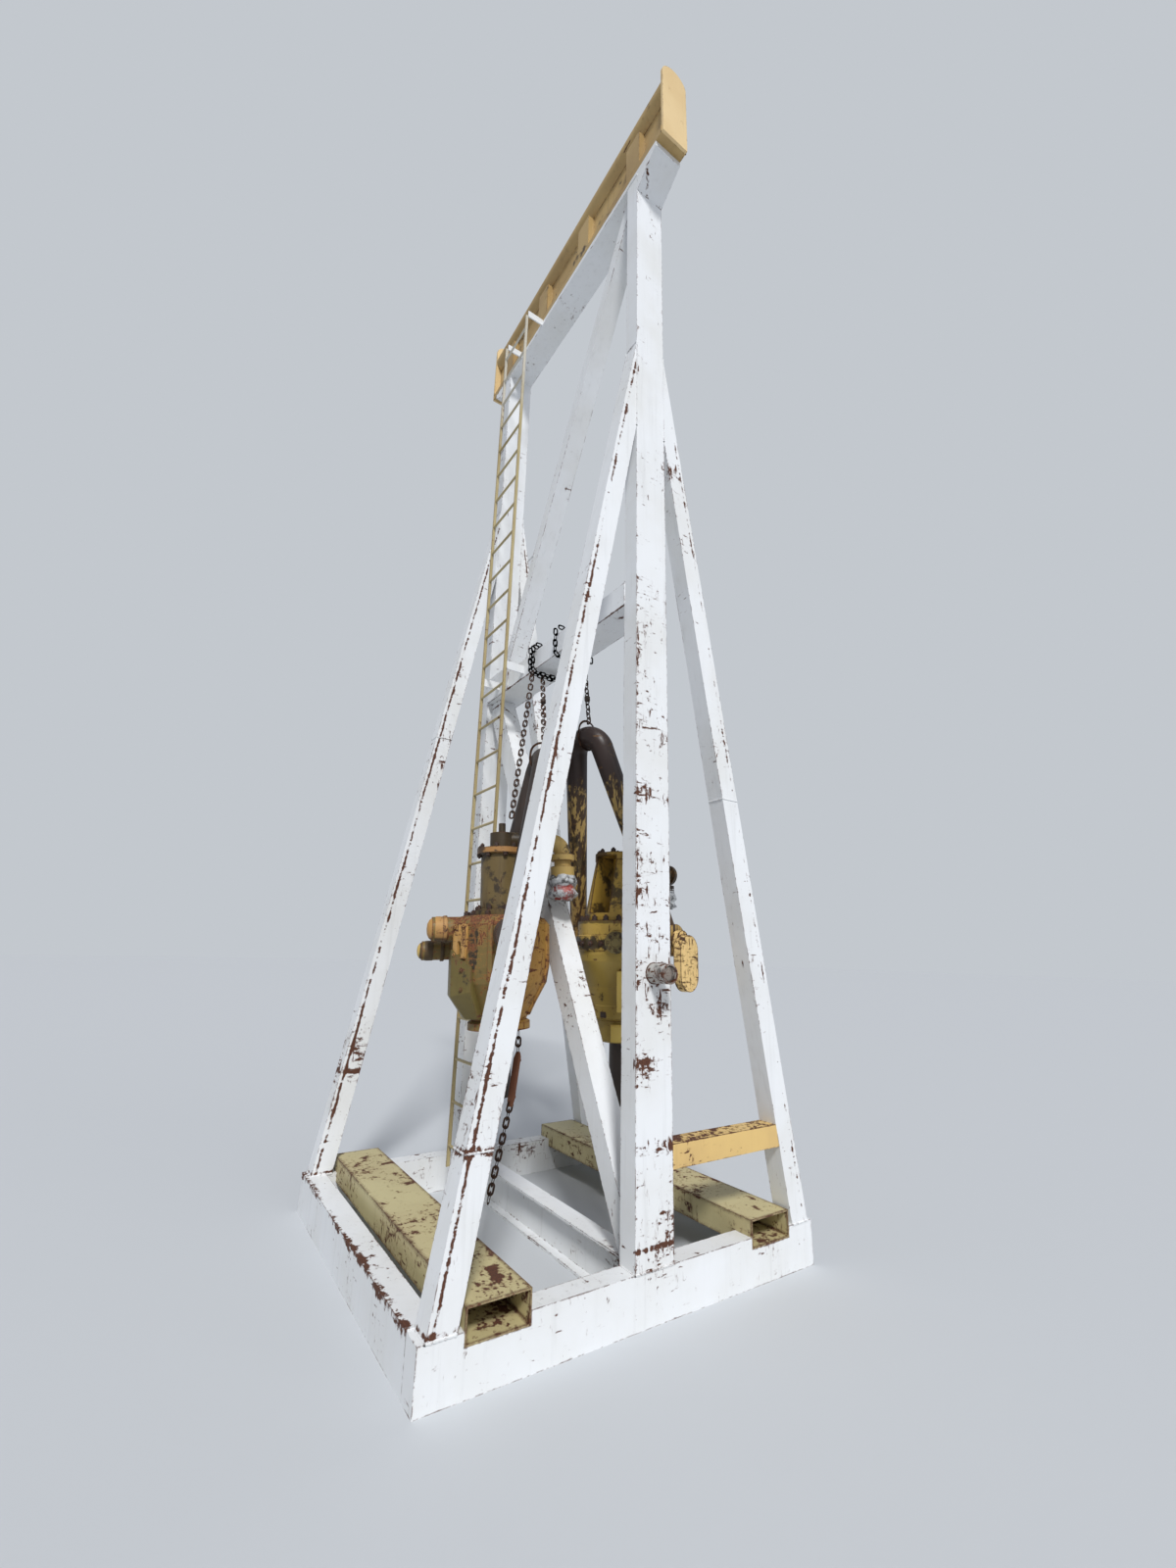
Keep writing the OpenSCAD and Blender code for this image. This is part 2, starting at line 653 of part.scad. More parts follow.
// Where a strand hangs in link i of the lower run of a ring.
function hang(x, i) = [x, wrap_a - (i + 0.5) * 2 * wrap_a / wrap_ny,
    cross_z + cross_h / 2 - wrap_b - 2 * wrap_q - wrap_a / wrap_ny - link_gap / 2];

// Where a strand hangs in the lower left corner link of a ring.
corner_k = (link_r + 0.8) / sqrt(2);
corner_m = (2 * wire_r + link_gap / 2) / sqrt(2);
function hang_corner(x) = [x, -wrap_a - wrap_q - corner_k + corner_m,
    cross_z + cross_h / 2 - wrap_b - wrap_q - corner_k + corner_m - wire_r - link_gap / 2];

// Oval ring that goes round the bar of a bow and takes the last link.
module sling() {
    for (end = [0, 1]) translate([0, 0, -end * sling_rise]) rotate([90, 180 * end, 0])
        rotate_extrude(angle = 180) translate([sling_ring, 0]) circle(r = sling_r);
    for (side = [-1, 1]) translate([side * sling_ring, 0, -sling_rise]) cylinder(r = sling_r, h = sling_rise);
}

// Tilt of a sling about the bow's bar that points it at the strand's start.
function sling_tilt(from, bar, turn) = let (v = from - bar)
    -atan2(cos(turn) * v.y - sin(turn) * v.x, v.z);

// Links from a ring down to the sling on a bail's bow, one of them a longer joining link.
module strand(from, bar, turn, joiner) {
    tilt = sling_tilt(from, bar, turn);
    run = bar + (sling_rise + sling_ring) * [sin(turn) * sin(tilt), -cos(turn) * sin(tilt), cos(tilt)] - from;
    spin = atan2(run.y, run.x);
    span = norm(run) + sling_r;
    count = 2 * floor((span / link_pitch - 1) / 2) + 1;
    long = span - (count - 1) * link_pitch;
    translate(from) rotate([0, acos(run.z / norm(run)), spin]) {
        for (i = [0:count - 1])
            translate([0, 0, (i + 0.5) * link_pitch + (i > joiner ? 1 : i == joiner ? 0.5 : 0) * (long - link_pitch)])
                rotate([0, 0, spin + 90 * (i % 2) - turn * i / (count - 1)]) {
                    if (i == joiner) joining_link(long);
                    else link(link_pitch);
                }
    }
    translate(bar) rotate([tilt, 0, turn]) rotate([180, 0, 90]) sling();
}

// Loose run of links that ends free.
module loose_run(from, to) {
    run = to - from;
    spin = atan2(run.y, run.x);
    translate(from) rotate([0, acos(run.z / norm(run)), spin]) for (i = [0:floor(norm(run) / link_pitch) - 1])
        translate([0, 0, (i + 0.5) * link_pitch]) rotate([0, 0, spin + 90 * (i % 2)]) link(link_pitch);
}

// Middle of a bail's bow bar at its highest point.
function bow(pivot, turn, lean, length) = pivot + [-sin(turn) * sin(lean) * length,
    cos(turn) * sin(lean) * length, cos(lean) * length];
module left_chain() {
    color(dark) {
        wrap(left_wrap_x);
        strand(hang(left_wrap_x, wrap_ny - 2), bow(left_pivot, left_turn, left_lean, left_bail_l), left_turn, 6);
        loose_run(hang_corner(left_wrap_x), left_pivot + [tail_x, tail_y, left_bail_l - tail_down]);
    }
}
module right_chain() {
    color(dark) {
        wrap(right_wrap_x);
        strand(hang(right_wrap_x, 0), bow(right_pivot, right_turn, right_lean, right_bail_l), right_turn, 6);
    }
}

base_near_beam();
base_far_beam();
base_left_beam();
base_right_beam();
base_centre_beam();
fork_pocket_left();
fork_pocket_right();
near_post();
far_post();
near_left_leg();
near_right_leg();
far_left_leg();
far_right_leg();
tie_beam();
cross_beam();
cross_beam_collar();
upper_brace();
lower_brace();
head_plate();
top_beam();
top_rail();
beam_stiffeners();
near_end_plate();
far_end_plate();
ladder();
ladder_brackets();
post_peg();
left_bail();
left_body();
left_bonnet();
left_gooseneck();
left_stem();
right_bail();
right_body();
right_bonnet();
right_gooseneck();
right_stem();
left_chain();
right_chain();
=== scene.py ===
import math
import random
import bmesh
import bpy
from mathutils import Matrix, Vector, noise


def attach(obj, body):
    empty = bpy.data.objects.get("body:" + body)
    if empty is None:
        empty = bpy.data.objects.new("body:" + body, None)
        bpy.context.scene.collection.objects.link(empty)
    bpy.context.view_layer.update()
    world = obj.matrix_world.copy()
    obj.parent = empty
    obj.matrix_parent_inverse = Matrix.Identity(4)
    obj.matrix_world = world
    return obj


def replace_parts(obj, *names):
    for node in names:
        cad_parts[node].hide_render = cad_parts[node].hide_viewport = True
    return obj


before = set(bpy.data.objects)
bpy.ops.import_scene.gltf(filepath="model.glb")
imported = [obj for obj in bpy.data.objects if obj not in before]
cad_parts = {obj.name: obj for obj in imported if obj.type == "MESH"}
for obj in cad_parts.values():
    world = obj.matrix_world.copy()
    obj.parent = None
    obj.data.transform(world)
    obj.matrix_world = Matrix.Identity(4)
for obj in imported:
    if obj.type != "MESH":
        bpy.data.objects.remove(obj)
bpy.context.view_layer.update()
random.seed(7)

# Camera. It stands low beside the near post and looks up along the frame, as the photograph does:
# a short lens on a hand-held phone, rolled a little over one degree.
look = Vector((-0.8018, 0.5354, 0.2655)).normalized()
level_right = Vector((0.5553, 0.8316, 0.0)).normalized()
level_down = look.cross(level_right)
roll = math.radians(1.317)
to_right = math.cos(roll) * level_right - math.sin(roll) * level_down
to_bottom = math.sin(roll) * level_right + math.cos(roll) * level_down
stands_at = (4.1917, -2.4646, 1.8338)
focal_pixels, photo_height, sensor = 634.31, 1600, 36
camera = bpy.data.objects.new("camera", bpy.data.cameras.new("camera"))
camera.matrix_world = Matrix.Translation(stands_at) @ Matrix(
    (to_right, -to_bottom, -look)).transposed().to_4x4()
camera.data.sensor_width = sensor
camera.data.sensor_fit = "AUTO"
camera.data.lens = focal_pixels * sensor / photo_height
camera.data.clip_end = 300
bpy.context.scene.collection.objects.link(camera)
bpy.context.scene.camera = camera

# Posts, legs, base and cross beam. They are welded box sections with a thick coat of white paint
# that has chipped to brown rust, most of all along the corners and in a few bands on the near post.


def node(tree, kind, **settings):
    made = tree.nodes.new("ShaderNode" + kind)
    for name, value in settings.items():
        setattr(made, name, value)
    return made


def feed(tree, value, socket):
    if hasattr(value, "links"):
        tree.links.new(value, socket)
    elif socket.type == "RGBA":
        socket.default_value = (*value, 1)
    else:
        socket.default_value = value


def new_group(name, inputs, outputs):
    group = bpy.data.node_groups.new(name, "ShaderNodeTree")
    for socket, value in inputs.items():
        kind = "NodeSocketVector" if value is None else "NodeSocketFloat"
        made = group.interface.new_socket(socket, in_out="INPUT", socket_type=kind)
        if value is not None:
            made.default_value = value
    for socket in outputs:
        group.interface.new_socket(socket, in_out="OUTPUT", socket_type="NodeSocketFloat")
    return group, group.nodes.new("NodeGroupInput"), group.nodes.new("NodeGroupOutput")


def step_up(tree, value, low, high, to_low=0.0, to_high=1.0):
    ramp = node(tree, "MapRange", interpolation_type="SMOOTHSTEP")
    feed(tree, value, ramp.inputs["Value"])
    for socket, number in (("From Min", low), ("From Max", high), ("To Min", to_low), ("To Max", to_high)):
        ramp.inputs[socket].default_value = number
    return ramp.outputs["Result"]


def calc(tree, kind, first, second):
    made = node(tree, "Math", operation=kind)
    feed(tree, first, made.inputs[0])
    feed(tree, second, made.inputs[1])
    return made.outputs["Value"]


def swing(tree, value, amount):
    return calc(tree, "MULTIPLY", calc(tree, "SUBTRACT", value, 0.5), amount)


def vector_of(tree, kind, first, second=None):
    made = node(tree, "VectorMath", operation=kind)
    feed(tree, first, made.inputs[0])
    if second is not None:
        feed(tree, second, made.inputs[1])
    return made.outputs["Vector" if kind in ("SUBTRACT", "DIVIDE") else "Value"]


def blend(tree, share, first, second):
    mix = node(tree, "Mix", data_type="RGBA")
    sockets = [socket for socket in mix.inputs if socket.enabled]
    for socket, value in zip(sockets, (share, first, second)):
        feed(tree, value, socket)
    return [socket for socket in mix.outputs if socket.enabled][0]


def grain_of(tree, where, scale, detail=4.0, rough=0.6, stretch=None):
    if stretch:
        mapping = node(tree, "Mapping")
        feed(tree, stretch, mapping.inputs["Scale"])
        feed(tree, where, mapping.inputs["Vector"])
        where = mapping.outputs["Vector"]
    made = node(tree, "TexNoise")
    feed(tree, where, made.inputs["Vector"])
    for socket, number in (("Scale", scale), ("Detail", detail), ("Roughness", rough)):
        made.inputs[socket].default_value = number
    return made.outputs["Fac"]


def roughen(tree, shader, height, strength, distance):
    bump = node(tree, "Bump")
    bump.inputs["Strength"].default_value = strength
    bump.inputs["Distance"].default_value = distance
    feed(tree, height, bump.inputs["Height"])
    feed(tree, bump.outputs["Normal"], shader.inputs["Normal"])


# Wear on corners. Paint goes first where it is knocked: this group gives 0 on the flat of a piece and
# 1 on its edges, found by rounding the surface over a given reach.
corner_wear, given, out = new_group("corner wear", {"Reach": 0.01}, ["Corner"])
rounded = node(corner_wear, "Bevel", samples=6)
feed(corner_wear, given.outputs["Reach"], rounded.inputs["Radius"])
face = node(corner_wear, "NewGeometry")
facing = vector_of(corner_wear, "DOT_PRODUCT", rounded.outputs["Normal"], face.outputs["Normal"])
feed(corner_wear, step_up(corner_wear, facing, 0.998, 0.8), out.inputs["Corner"])

# Chips. Small broken spots in clusters, the rust that bleeds round them, the grain of that rust and
# the dirt that runs down: four masks that every painted surface here shares.
chipping, given, out = new_group("chipping", {"Vector": None, "Chipped": 0.5, "Corner": 0.0},
                                 ["Chip", "Bleed", "Rust grain", "Runs"])
place = given.outputs["Vector"]
spots = grain_of(chipping, place, 26, 7, 0.66)
upright_marks = grain_of(chipping, place, 20, 6, 0.62, (1.5, 1.5, 0.42))
level_marks = grain_of(chipping, place, 17, 5, 0.6, (0.6, 0.6, 2.2))
likely = calc(chipping, "MAXIMUM", spots, calc(chipping, "MAXIMUM", upright_marks, level_marks))
cluster = grain_of(chipping, place, 1.6, 3, 0.5)
coarse = grain_of(chipping, place, 7, 3, 0.6)
likely = calc(chipping, "ADD", likely, swing(chipping, cluster, 0.5))
likely = calc(chipping, "ADD", likely, swing(chipping, coarse, 0.3))
for socket, weight in (("Corner", 0.3), ("Chipped", 0.4)):
    likely = calc(chipping, "ADD", likely, calc(chipping, "MULTIPLY", given.outputs[socket], weight))
runs = grain_of(chipping, place, 1.0, 5, 0.6, (22, 22, 1.3))
for socket, mask in (("Chip", step_up(chipping, likely, 0.94, 0.96)),
                     ("Bleed", step_up(chipping, likely, 0.88, 0.955)),
                     ("Rust grain", grain_of(chipping, place, 120, 6, 0.7)),
                     ("Runs", step_up(chipping, runs, 0.52, 0.8))):
    feed(chipping, mask, out.inputs[socket])

# Painted steel. A coat that has faded in places and chipped through to bare and rusty metal. Lines and
# bands chip more beside a plane or a height, tints recolour all that lies past a plane, and grease and
# painted shadow are black inside a soft ball. Each is given by where it is, how wide it is and how strong it
# is.
grime_colour, grease_and_shadow_black, bow_shade_black = (0.03, 0.022, 0.016), (0.022, 0.016, 0.012), (0.035, 0.021, 0.017)
upward, downward = (0, 0, 1), (0, 0, -1)


def painted_steel(name, coat, faded, bare=(0.06, 0.023, 0.015), rust=(0.14, 0.052, 0.024), chipped=0.2,
                  edge=0.012, edge_amount=1.0, patches=0.0, bands=(), lines=(), bleed=0.45, run_amount=0.22,
                  run_colour=None, shine=0.42, dark_from=None, grease_and_shadow=(), tints=(), streaks=0.0, bumpy=0.35):
    made = bpy.data.materials.new(name)
    made.use_nodes = True
    tree = made.node_tree
    shader = tree.nodes["Principled BSDF"]
    place = node(tree, "TexCoord").outputs["Object"]
    worn = node(tree, "Group", node_tree=corner_wear)
    worn.inputs["Reach"].default_value = edge
    chips = node(tree, "Group", node_tree=chipping)
    feed(tree, place, chips.inputs["Vector"])
    feed(tree, calc(tree, "MULTIPLY", worn.outputs["Corner"], edge_amount), chips.inputs["Corner"])
    chip, bled, rust_grain = (chips.outputs[socket] for socket in ("Chip", "Bleed", "Rust grain"))
    likely = chipped
    for plane, level, half, more in [(upward, *band) for band in bands] + list(lines):
        drift = swing(tree, grain_of(tree, place, 5, 5, 0.65), 1.4 * half)
        away = calc(tree, "SUBTRACT", vector_of(tree, "DOT_PRODUCT", place, plane), level)
        away = calc(tree, "ABSOLUTE", calc(tree, "ADD", away, drift), 0)
        likely = calc(tree, "ADD", step_up(tree, away, half, half * 0.2, 0.0, more), likely)
    feed(tree, likely, chips.inputs["Chipped"])

    fade = step_up(tree, grain_of(tree, place, 1.7, 4, 0.55), 0.35, 0.7)
    colour = blend(tree, fade, coat, faded)
    dull = run_colour or tuple(c * 0.55 for c in faded)
    for direction, level, width, tint, amount in tints:
        wavy = calc(tree, "ADD", vector_of(tree, "DOT_PRODUCT", place, direction),
                    swing(tree, grain_of(tree, place, 9, 5, 0.6), width * 2))
        colour = blend(tree, step_up(tree, wavy, level - width, level + width, 0.0, amount), colour, tint)
    colour = blend(tree, calc(tree, "MULTIPLY", chips.outputs["Runs"], run_amount), colour, dull)
    if streaks:
        drips = grain_of(tree, place, 1.0, 5, 0.6, (34, 34, 2.2))
        colour = blend(tree, step_up(tree, drips, 0.46, 0.52, 0.0, streaks), colour, dull)
    if patches:
        grime = grain_of(tree, place, 5.5, 7, 0.68)
        grime = step_up(tree, grime, 0.62 - 0.2 * patches, 0.68 - 0.16 * patches)
        colour = blend(tree, calc(tree, "MULTIPLY", grime, 0.85), colour, grime_colour)
    # Everything above the given height goes near-black: painted shade, used on the right bail's bow.
    if dark_from:
        wavy = calc(tree, "ADD", vector_of(tree, "DOT_PRODUCT", place, upward),
                    swing(tree, grain_of(tree, place, 7, 6, 0.65), 0.7))
        colour = blend(tree, step_up(tree, wavy, dark_from - 0.04, dark_from + 0.05), colour, bow_shade_black)
    # Black balls: most are old grease; the tall narrow one on the left body is a painted shadow.
    for middle, size, amount in grease_and_shadow:
        scaled = vector_of(tree, "DIVIDE", vector_of(tree, "SUBTRACT", place, middle), size)
        ragged = calc(tree, "ADD", vector_of(tree, "LENGTH", scaled),
                      swing(tree, grain_of(tree, place, 14, 7, 0.7), 1.6))
        colour = blend(tree, step_up(tree, ragged, 1.1, 0.95, 0.0, amount), colour, grease_and_shadow_black)
    halo = tuple(0.35 * c + 0.65 * r for c, r in zip(coat, rust))
    colour = blend(tree, calc(tree, "MULTIPLY", bled, bleed), colour, halo)
    metal = blend(tree, step_up(tree, rust_grain, 0.38, 0.66), bare, rust)
    feed(tree, blend(tree, chip, colour, metal), shader.inputs["Base Color"])
    feed(tree, calc(tree, "ADD", step_up(tree, bled, 0, 1, shine, 0.82), swing(tree, rust_grain, 0.16)),
         shader.inputs["Roughness"])
    shader.inputs["Specular IOR Level"].default_value = 0.4
    skin = calc(tree, "MULTIPLY", grain_of(tree, place, 55, 3, 0.5), 0.18)
    depth = calc(tree, "ADD", calc(tree, "MULTIPLY", chip, -0.6),
                 calc(tree, "ADD", skin, calc(tree, "MULTIPLY", rust_grain, 0.3)))
    roughen(tree, shader, depth, bumpy, 0.004)
    return made


def dress(finish, *names):
    for name in names:
        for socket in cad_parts[name].material_slots:
            socket.material = finish


post_middle, post_half, half_section = 1.175, 0.133, 0.067
base_half, base_top = 1.284, 0.25
leg_foot, leg_deep, leg_rise = 1.249, 0.145, 6.2
cross_low, cross_high = 4.205, 0.178
head_foot = 8.221
leg_slope = (leg_foot - post_half) / leg_rise
leg_cos, leg_sin = math.cos(math.atan(leg_slope)), math.sin(math.atan(leg_slope))
seam = 0.03 - (leg_foot + leg_slope * base_top) * leg_cos
white = {"coat": (0.80, 0.815, 0.83), "faded": (0.74, 0.745, 0.735)}
white_paint = painted_steel("white_paint", **white, chipped=0.6, edge_amount=0.4)
post_paint = painted_steel("post_paint", **white, chipped=0.66, edge_amount=0.55,
                           lines=(((1, -1, 0), 1.372, 0.024, 0.15), ((0, -1, 0), post_half, 0.008, -0.22)),
                           bands=((1.22, 0.10, 0.22), (0.83, 0.06, 0.35), (2.08, 0.36, 0.25),
                                  (0.35, 0.02, 0.3), (2.83, 0.1, 0.28), (2.42, 0.05, 0.2), (6.8, 3.2, -0.15)))
beam_paint = painted_steel("beam_paint", **white, chipped=0.58, edge=0.014, edge_amount=0.55,
                           lines=(((0, -1, -1), post_half - cross_low, 0.014, 0.4),),
                           bands=((7.4, 1.6, -0.3),))
head_paint = painted_steel("head_paint", **white, chipped=0.58, edge_amount=0.4,
                           lines=(((0, -1, -1), post_half - head_foot, 0.03, 0.3),))
base_paint = painted_steel("base_paint", **white, chipped=0.58, edge_amount=0.4, bleed=0.7,
                           lines=(((0, -1, 1), base_half + base_top, 0.045, 0.4),))
left_leg_paint = painted_steel("left_leg_paint", **white, chipped=0.56, edge_amount=0.4, bleed=0.6,
                               lines=(((0, leg_cos, -leg_sin), seam, 0.016, 0.48),),
                               bands=((0.94, 0.03, 0.35), (1.05, 0.3, 0.08), (0.26, 0.03, 0.4)))
right_leg_paint = painted_steel("right_leg_paint", **white, chipped=0.56, edge_amount=0.45, bleed=0.6,
                                lines=(((0, -leg_cos, -leg_sin), seam, 0.012, 0.3),))
dress(white_paint, "far_post", "cross_beam_collar")
dress(head_paint, "head_plate")
dress(base_paint, "base_far_beam", "base_left_beam", "base_right_beam", "base_centre_beam")
dress(post_paint, "near_post")
dress(beam_paint, "cross_beam", "upper_brace", "lower_brace", "base_near_beam")
dress(left_leg_paint, "near_left_leg", "far_left_leg")
dress(right_leg_paint, "near_right_leg", "far_right_leg")

# Weld beads. Each section is joined to the next by a rippled bead of weld metal laid in the corner
# and painted over; they are laid here round the feet, along the tops of the legs and at the beams.
post_inner, post_outer = post_middle - half_section, post_middle + half_section
post_top = 8.295
joint_low, joint_top = 5.645, base_top + leg_rise
cross_top = cross_low + cross_high
base_inside, base_outside = 1.141, 1.28
bead_size, ripple = 0.0065, 0.011


def new_piece(name, mesh, finish, body):
    bmesh.ops.recalc_face_normals(mesh, faces=mesh.faces)
    data = bpy.data.meshes.new(name)
    mesh.to_mesh(data)
    mesh.free()
    piece = bpy.data.objects.new(name, data)
    bpy.context.scene.collection.objects.link(piece)
    data.materials.append(finish)
    for face in data.polygons:
        face.use_smooth = True
    data.set_sharp_from_angle(angle=math.radians(35))
    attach(piece, body)
    return piece


def lay_bead(mesh, start, end, size=bead_size):
    along = Vector(end) - Vector(start)
    count = max(4, int(along.length / ripple))
    turn = along.to_track_quat("Z", "Y").to_matrix().to_4x4()
    ring = bmesh.ops.create_circle(mesh, cap_ends=True, segments=6, radius=size,
                                   matrix=Matrix.Translation(start) @ turn)["verts"]
    cap = ring[0].link_faces[0]
    for i in range(count):
        bigger = size * (1.22 if i % 2 else 0.82) * random.uniform(0.92, 1.1)
        cap = bmesh.ops.extrude_discrete_faces(mesh, faces=[cap])["faces"][0]
        centre = Vector(start) + along * (i + 1) / count
        was = cap.calc_center_median()
        spread = sum((v.co - was).length for v in cap.verts) / len(cap.verts)
        for v in cap.verts:
            v.co = centre + (v.co - was) * bigger / spread


def bead_round(mesh, corners, size=bead_size):
    for i, corner in enumerate(corners):
        lay_bead(mesh, corner, corners[(i + 1) % len(corners)], size)


def level_corners(near, far, front, back, level):
    return [(near, front, level), (far, front, level), (far, back, level), (near, back, level)]


welds = bmesh.new()
for x in (-1, 1):
    near, far = sorted((x * post_inner, x * post_outer))
    for level in (base_top, post_top):
        bead_round(welds, level_corners(near, far, -post_half, post_half, level))
    for y in (-1, 1):
        bead_round(welds, level_corners(near, far, y * leg_foot, y * (leg_foot - leg_deep), base_top))
        for side in (near, far):
            lay_bead(welds, (side, y * post_half, joint_low), (side, y * post_half, joint_top))
        for level in (joint_low, joint_top):
            lay_bead(welds, (near, y * post_half, level), (far, y * post_half, level))
    side = x * post_inner
    bead_round(welds, [(side, -post_half, cross_low), (side, post_half, cross_low),
                       (side, post_half, cross_top), (side, -post_half, cross_top)])
    for y in (-1, 1):
        lay_bead(welds, (side, y * base_inside, 0.004), (side, y * base_inside, base_top))
        lay_bead(welds, (side, y * base_inside, base_top), (side, y * base_outside, base_top))
for x, y, splice in ((1, -1, 0.94), (-1, -1, 3.75), (1, 1, 2.9)):
    splice_out = leg_foot - leg_slope * (splice - base_top)
    near, far = sorted((x * post_inner, x * post_outer))
    bead_round(welds, level_corners(near, far, y * splice_out, y * (splice_out - leg_deep), splice), 0.005)
brace_side = 0.08
brace_beads = (((-1.0, cross_top), (-0.883, cross_top)), ((-post_inner, 4.055), (-post_inner, cross_low)),
               ((post_inner, base_top), (post_inner, 0.4)), ((post_inner, head_foot), (post_inner, post_top)),
               ((-0.52, 5.5), (-0.4, 5.5)))
for y in (-brace_side, brace_side):
    for start, end in brace_beads:
        lay_bead(welds, (start[0], y, start[1]), (end[0], y, end[1]))
new_piece("weld_beads", welds, white_paint, "frame")

# Top beam, rail and end plates. The beam is a fabricated girder in pale yellow paint, with a round rail on
# top that the slings used to run over and a thin plate closing each end. The beam, rail and stiffeners
# are a darker ochre as painted shade; the end plates keep the pale yellow.
# Ochre here is painted shade over the pale yellow of the end plates.
ochre_shade_paint = painted_steel("ochre_shade_paint", (0.49, 0.34, 0.14), (0.38, 0.25, 0.1), chipped=0.52, edge=0.015,
                            edge_amount=0.7, run_amount=0.35, patches=0.1)
end_paint = painted_steel("end_paint", (0.78, 0.58, 0.30), (0.70, 0.50, 0.24), chipped=0.5,
                          edge_amount=0.6)
tie_top = max(corner[2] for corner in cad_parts["tie_beam"].bound_box)
tie_paint = painted_steel("tie_paint", (0.72, 0.50, 0.19), (0.62, 0.42, 0.17), chipped=0.58, edge_amount=0.5,
                          bands=((tie_top, 0.006, 0.42),))
dress(ochre_shade_paint, "top_beam", "top_rail", "beam_stiffeners")
dress(end_paint, "near_end_plate", "far_end_plate")
dress(tie_paint, "tie_beam")
girder_welds = bmesh.new()
beam_foot, beam_low, beam_high, beam_side, beam_end = 8.345, 8.415, 8.8, 0.067, 1.56
stiffener_step = 2.35 / 3
for y in (-beam_side, beam_side):
    lay_bead(girder_welds, (-beam_end, y, beam_low), (beam_end, y, beam_low))
for i in (-1.5, -0.5, 0.5, 1.5):
    for y in (-beam_side, beam_side):
        for side in (-0.0925, 0.0925):
            x = i * stiffener_step + side
            lay_bead(girder_welds, (x, y, beam_low), (x, y, beam_high))
for x in (-beam_end, beam_end):
    for y in (-post_half, post_half):
        lay_bead(girder_welds, (x, y, beam_foot), (x, y, beam_low))
new_piece("girder_welds", girder_welds, ochre_shade_paint, "frame")

# Fork pockets. Two rectangular tubes through the base for the forks of a lift truck, in old tan
# paint, scraped bare and rusty inside the mouths where the forks slide.
mouth_rust = (0.24, 0.095, 0.035)
scraped = [(side, 1.54, 0.03, mouth_rust, 0.85) for side in ((1, 0, 0), (-1, 0, 0))]
pocket_paint = painted_steel("pocket_paint", (0.56, 0.49, 0.26), (0.48, 0.40, 0.21), chipped=0.74, edge=0.03,
                             edge_amount=0.7, bleed=0.8, tints=scraped)
dress(pocket_paint, "fork_pocket_left", "fork_pocket_right")

# Ladder. Flat rails and round rungs in beige paint, whiter towards the top. Each rung is welded into
# both rails, and short flat bars welded to the beams hold the ladder off the frame.
ladder_paint = painted_steel("ladder_paint", (0.46, 0.38, 0.2), (0.37, 0.29, 0.14), chipped=0.5, edge=0.006,
                             bleed=0.6, tints=((upward, 7.3, 0.4, (0.62, 0.60, 0.54), 0.75),))
dress(ladder_paint, "ladder")
dress(white_paint, "ladder_brackets")
ladder_welds = bmesh.new()
ladder_left, ladder_right, ladder_y = -0.84, -0.38, -0.317
rungs, first_rung, rung_step, rung_bead = 26, 0.395, 0.31, 0.006
for rung in range(rungs):
    level = first_rung + rung * rung_step
    for x, inward in ((ladder_left + rung_bead, rung_bead), (ladder_right - rung_bead, -rung_bead)):
        ring = bmesh.ops.create_circle(ladder_welds, segments=10, radius=0.0135, cap_ends=False,
                                       matrix=Matrix.Translation((x, ladder_y, level))
                                       @ Matrix.Rotation(math.pi / 2, 4, "Y"))
        edges = list({e for v in ring["verts"] for e in v.link_edges})
        lifted = bmesh.ops.extrude_edge_only(ladder_welds, edges=edges)
        for v in lifted["geom"]:
            if isinstance(v, bmesh.types.BMVert):
                v.co = Vector((v.co.x + inward, ladder_y + (v.co.y - ladder_y) * 0.8,
                               level + (v.co.z - level) * 0.8))
new_piece("rung_welds", ladder_welds, ladder_paint, "frame")

# Stub pipe on the near post. A short length of pipe in old white paint, welded square to the face of
# the post. Its mouth is open and packed with dirt a little way in.
peg_paint = painted_steel("peg_paint", (0.55, 0.55, 0.52), (0.36, 0.34, 0.31), chipped=0.75, edge=0.012,
                          patches=0.6, bleed=0.8)
dress(peg_paint, "post_peg")
peg_level, peg_radius, peg_steps = 1.74, 0.056, 24
peg_weld = bmesh.new()
root = [(post_outer, peg_radius * math.cos(2 * math.pi * i / peg_steps),
         peg_level + peg_radius * math.sin(2 * math.pi * i / peg_steps)) for i in range(peg_steps + 1)]
for start, end in zip(root, root[1:]):
    lay_bead(peg_weld, start, end)
new_piece("peg_weld", peg_weld, peg_paint, "frame")
mouth = max(corner[0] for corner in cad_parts["post_peg"].bound_box)
dirt_paint = painted_steel("packed_dirt", (0.30, 0.28, 0.25), (0.16, 0.13, 0.11), chipped=0.75, edge=0.004,
                           patches=0.7, shine=0.8, bumpy=0.8)
dirt = bmesh.new()
disc = bmesh.ops.create_circle(dirt, cap_ends=True, segments=28, radius=0.0466, matrix=Matrix.Translation(
    (mouth - 0.012, 0, peg_level)) @ Matrix.Rotation(math.pi / 2, 4, "Y"))["verts"]
cap = disc[0].link_faces[0]
for size, rise in ((0.8, 0.004), (0.75, 0.003), (0.6, 0.002)):
    cap = bmesh.ops.extrude_discrete_faces(dirt, faces=[cap])["faces"][0]
    for v in cap.verts:
        v.co = Vector((v.co.x + rise + 0.002 * noise.noise(v.co * 60), v.co.y * size,
                       peg_level + (v.co.z - peg_level) * size))
new_piece("packed_dirt", dirt, dirt_paint, "frame")
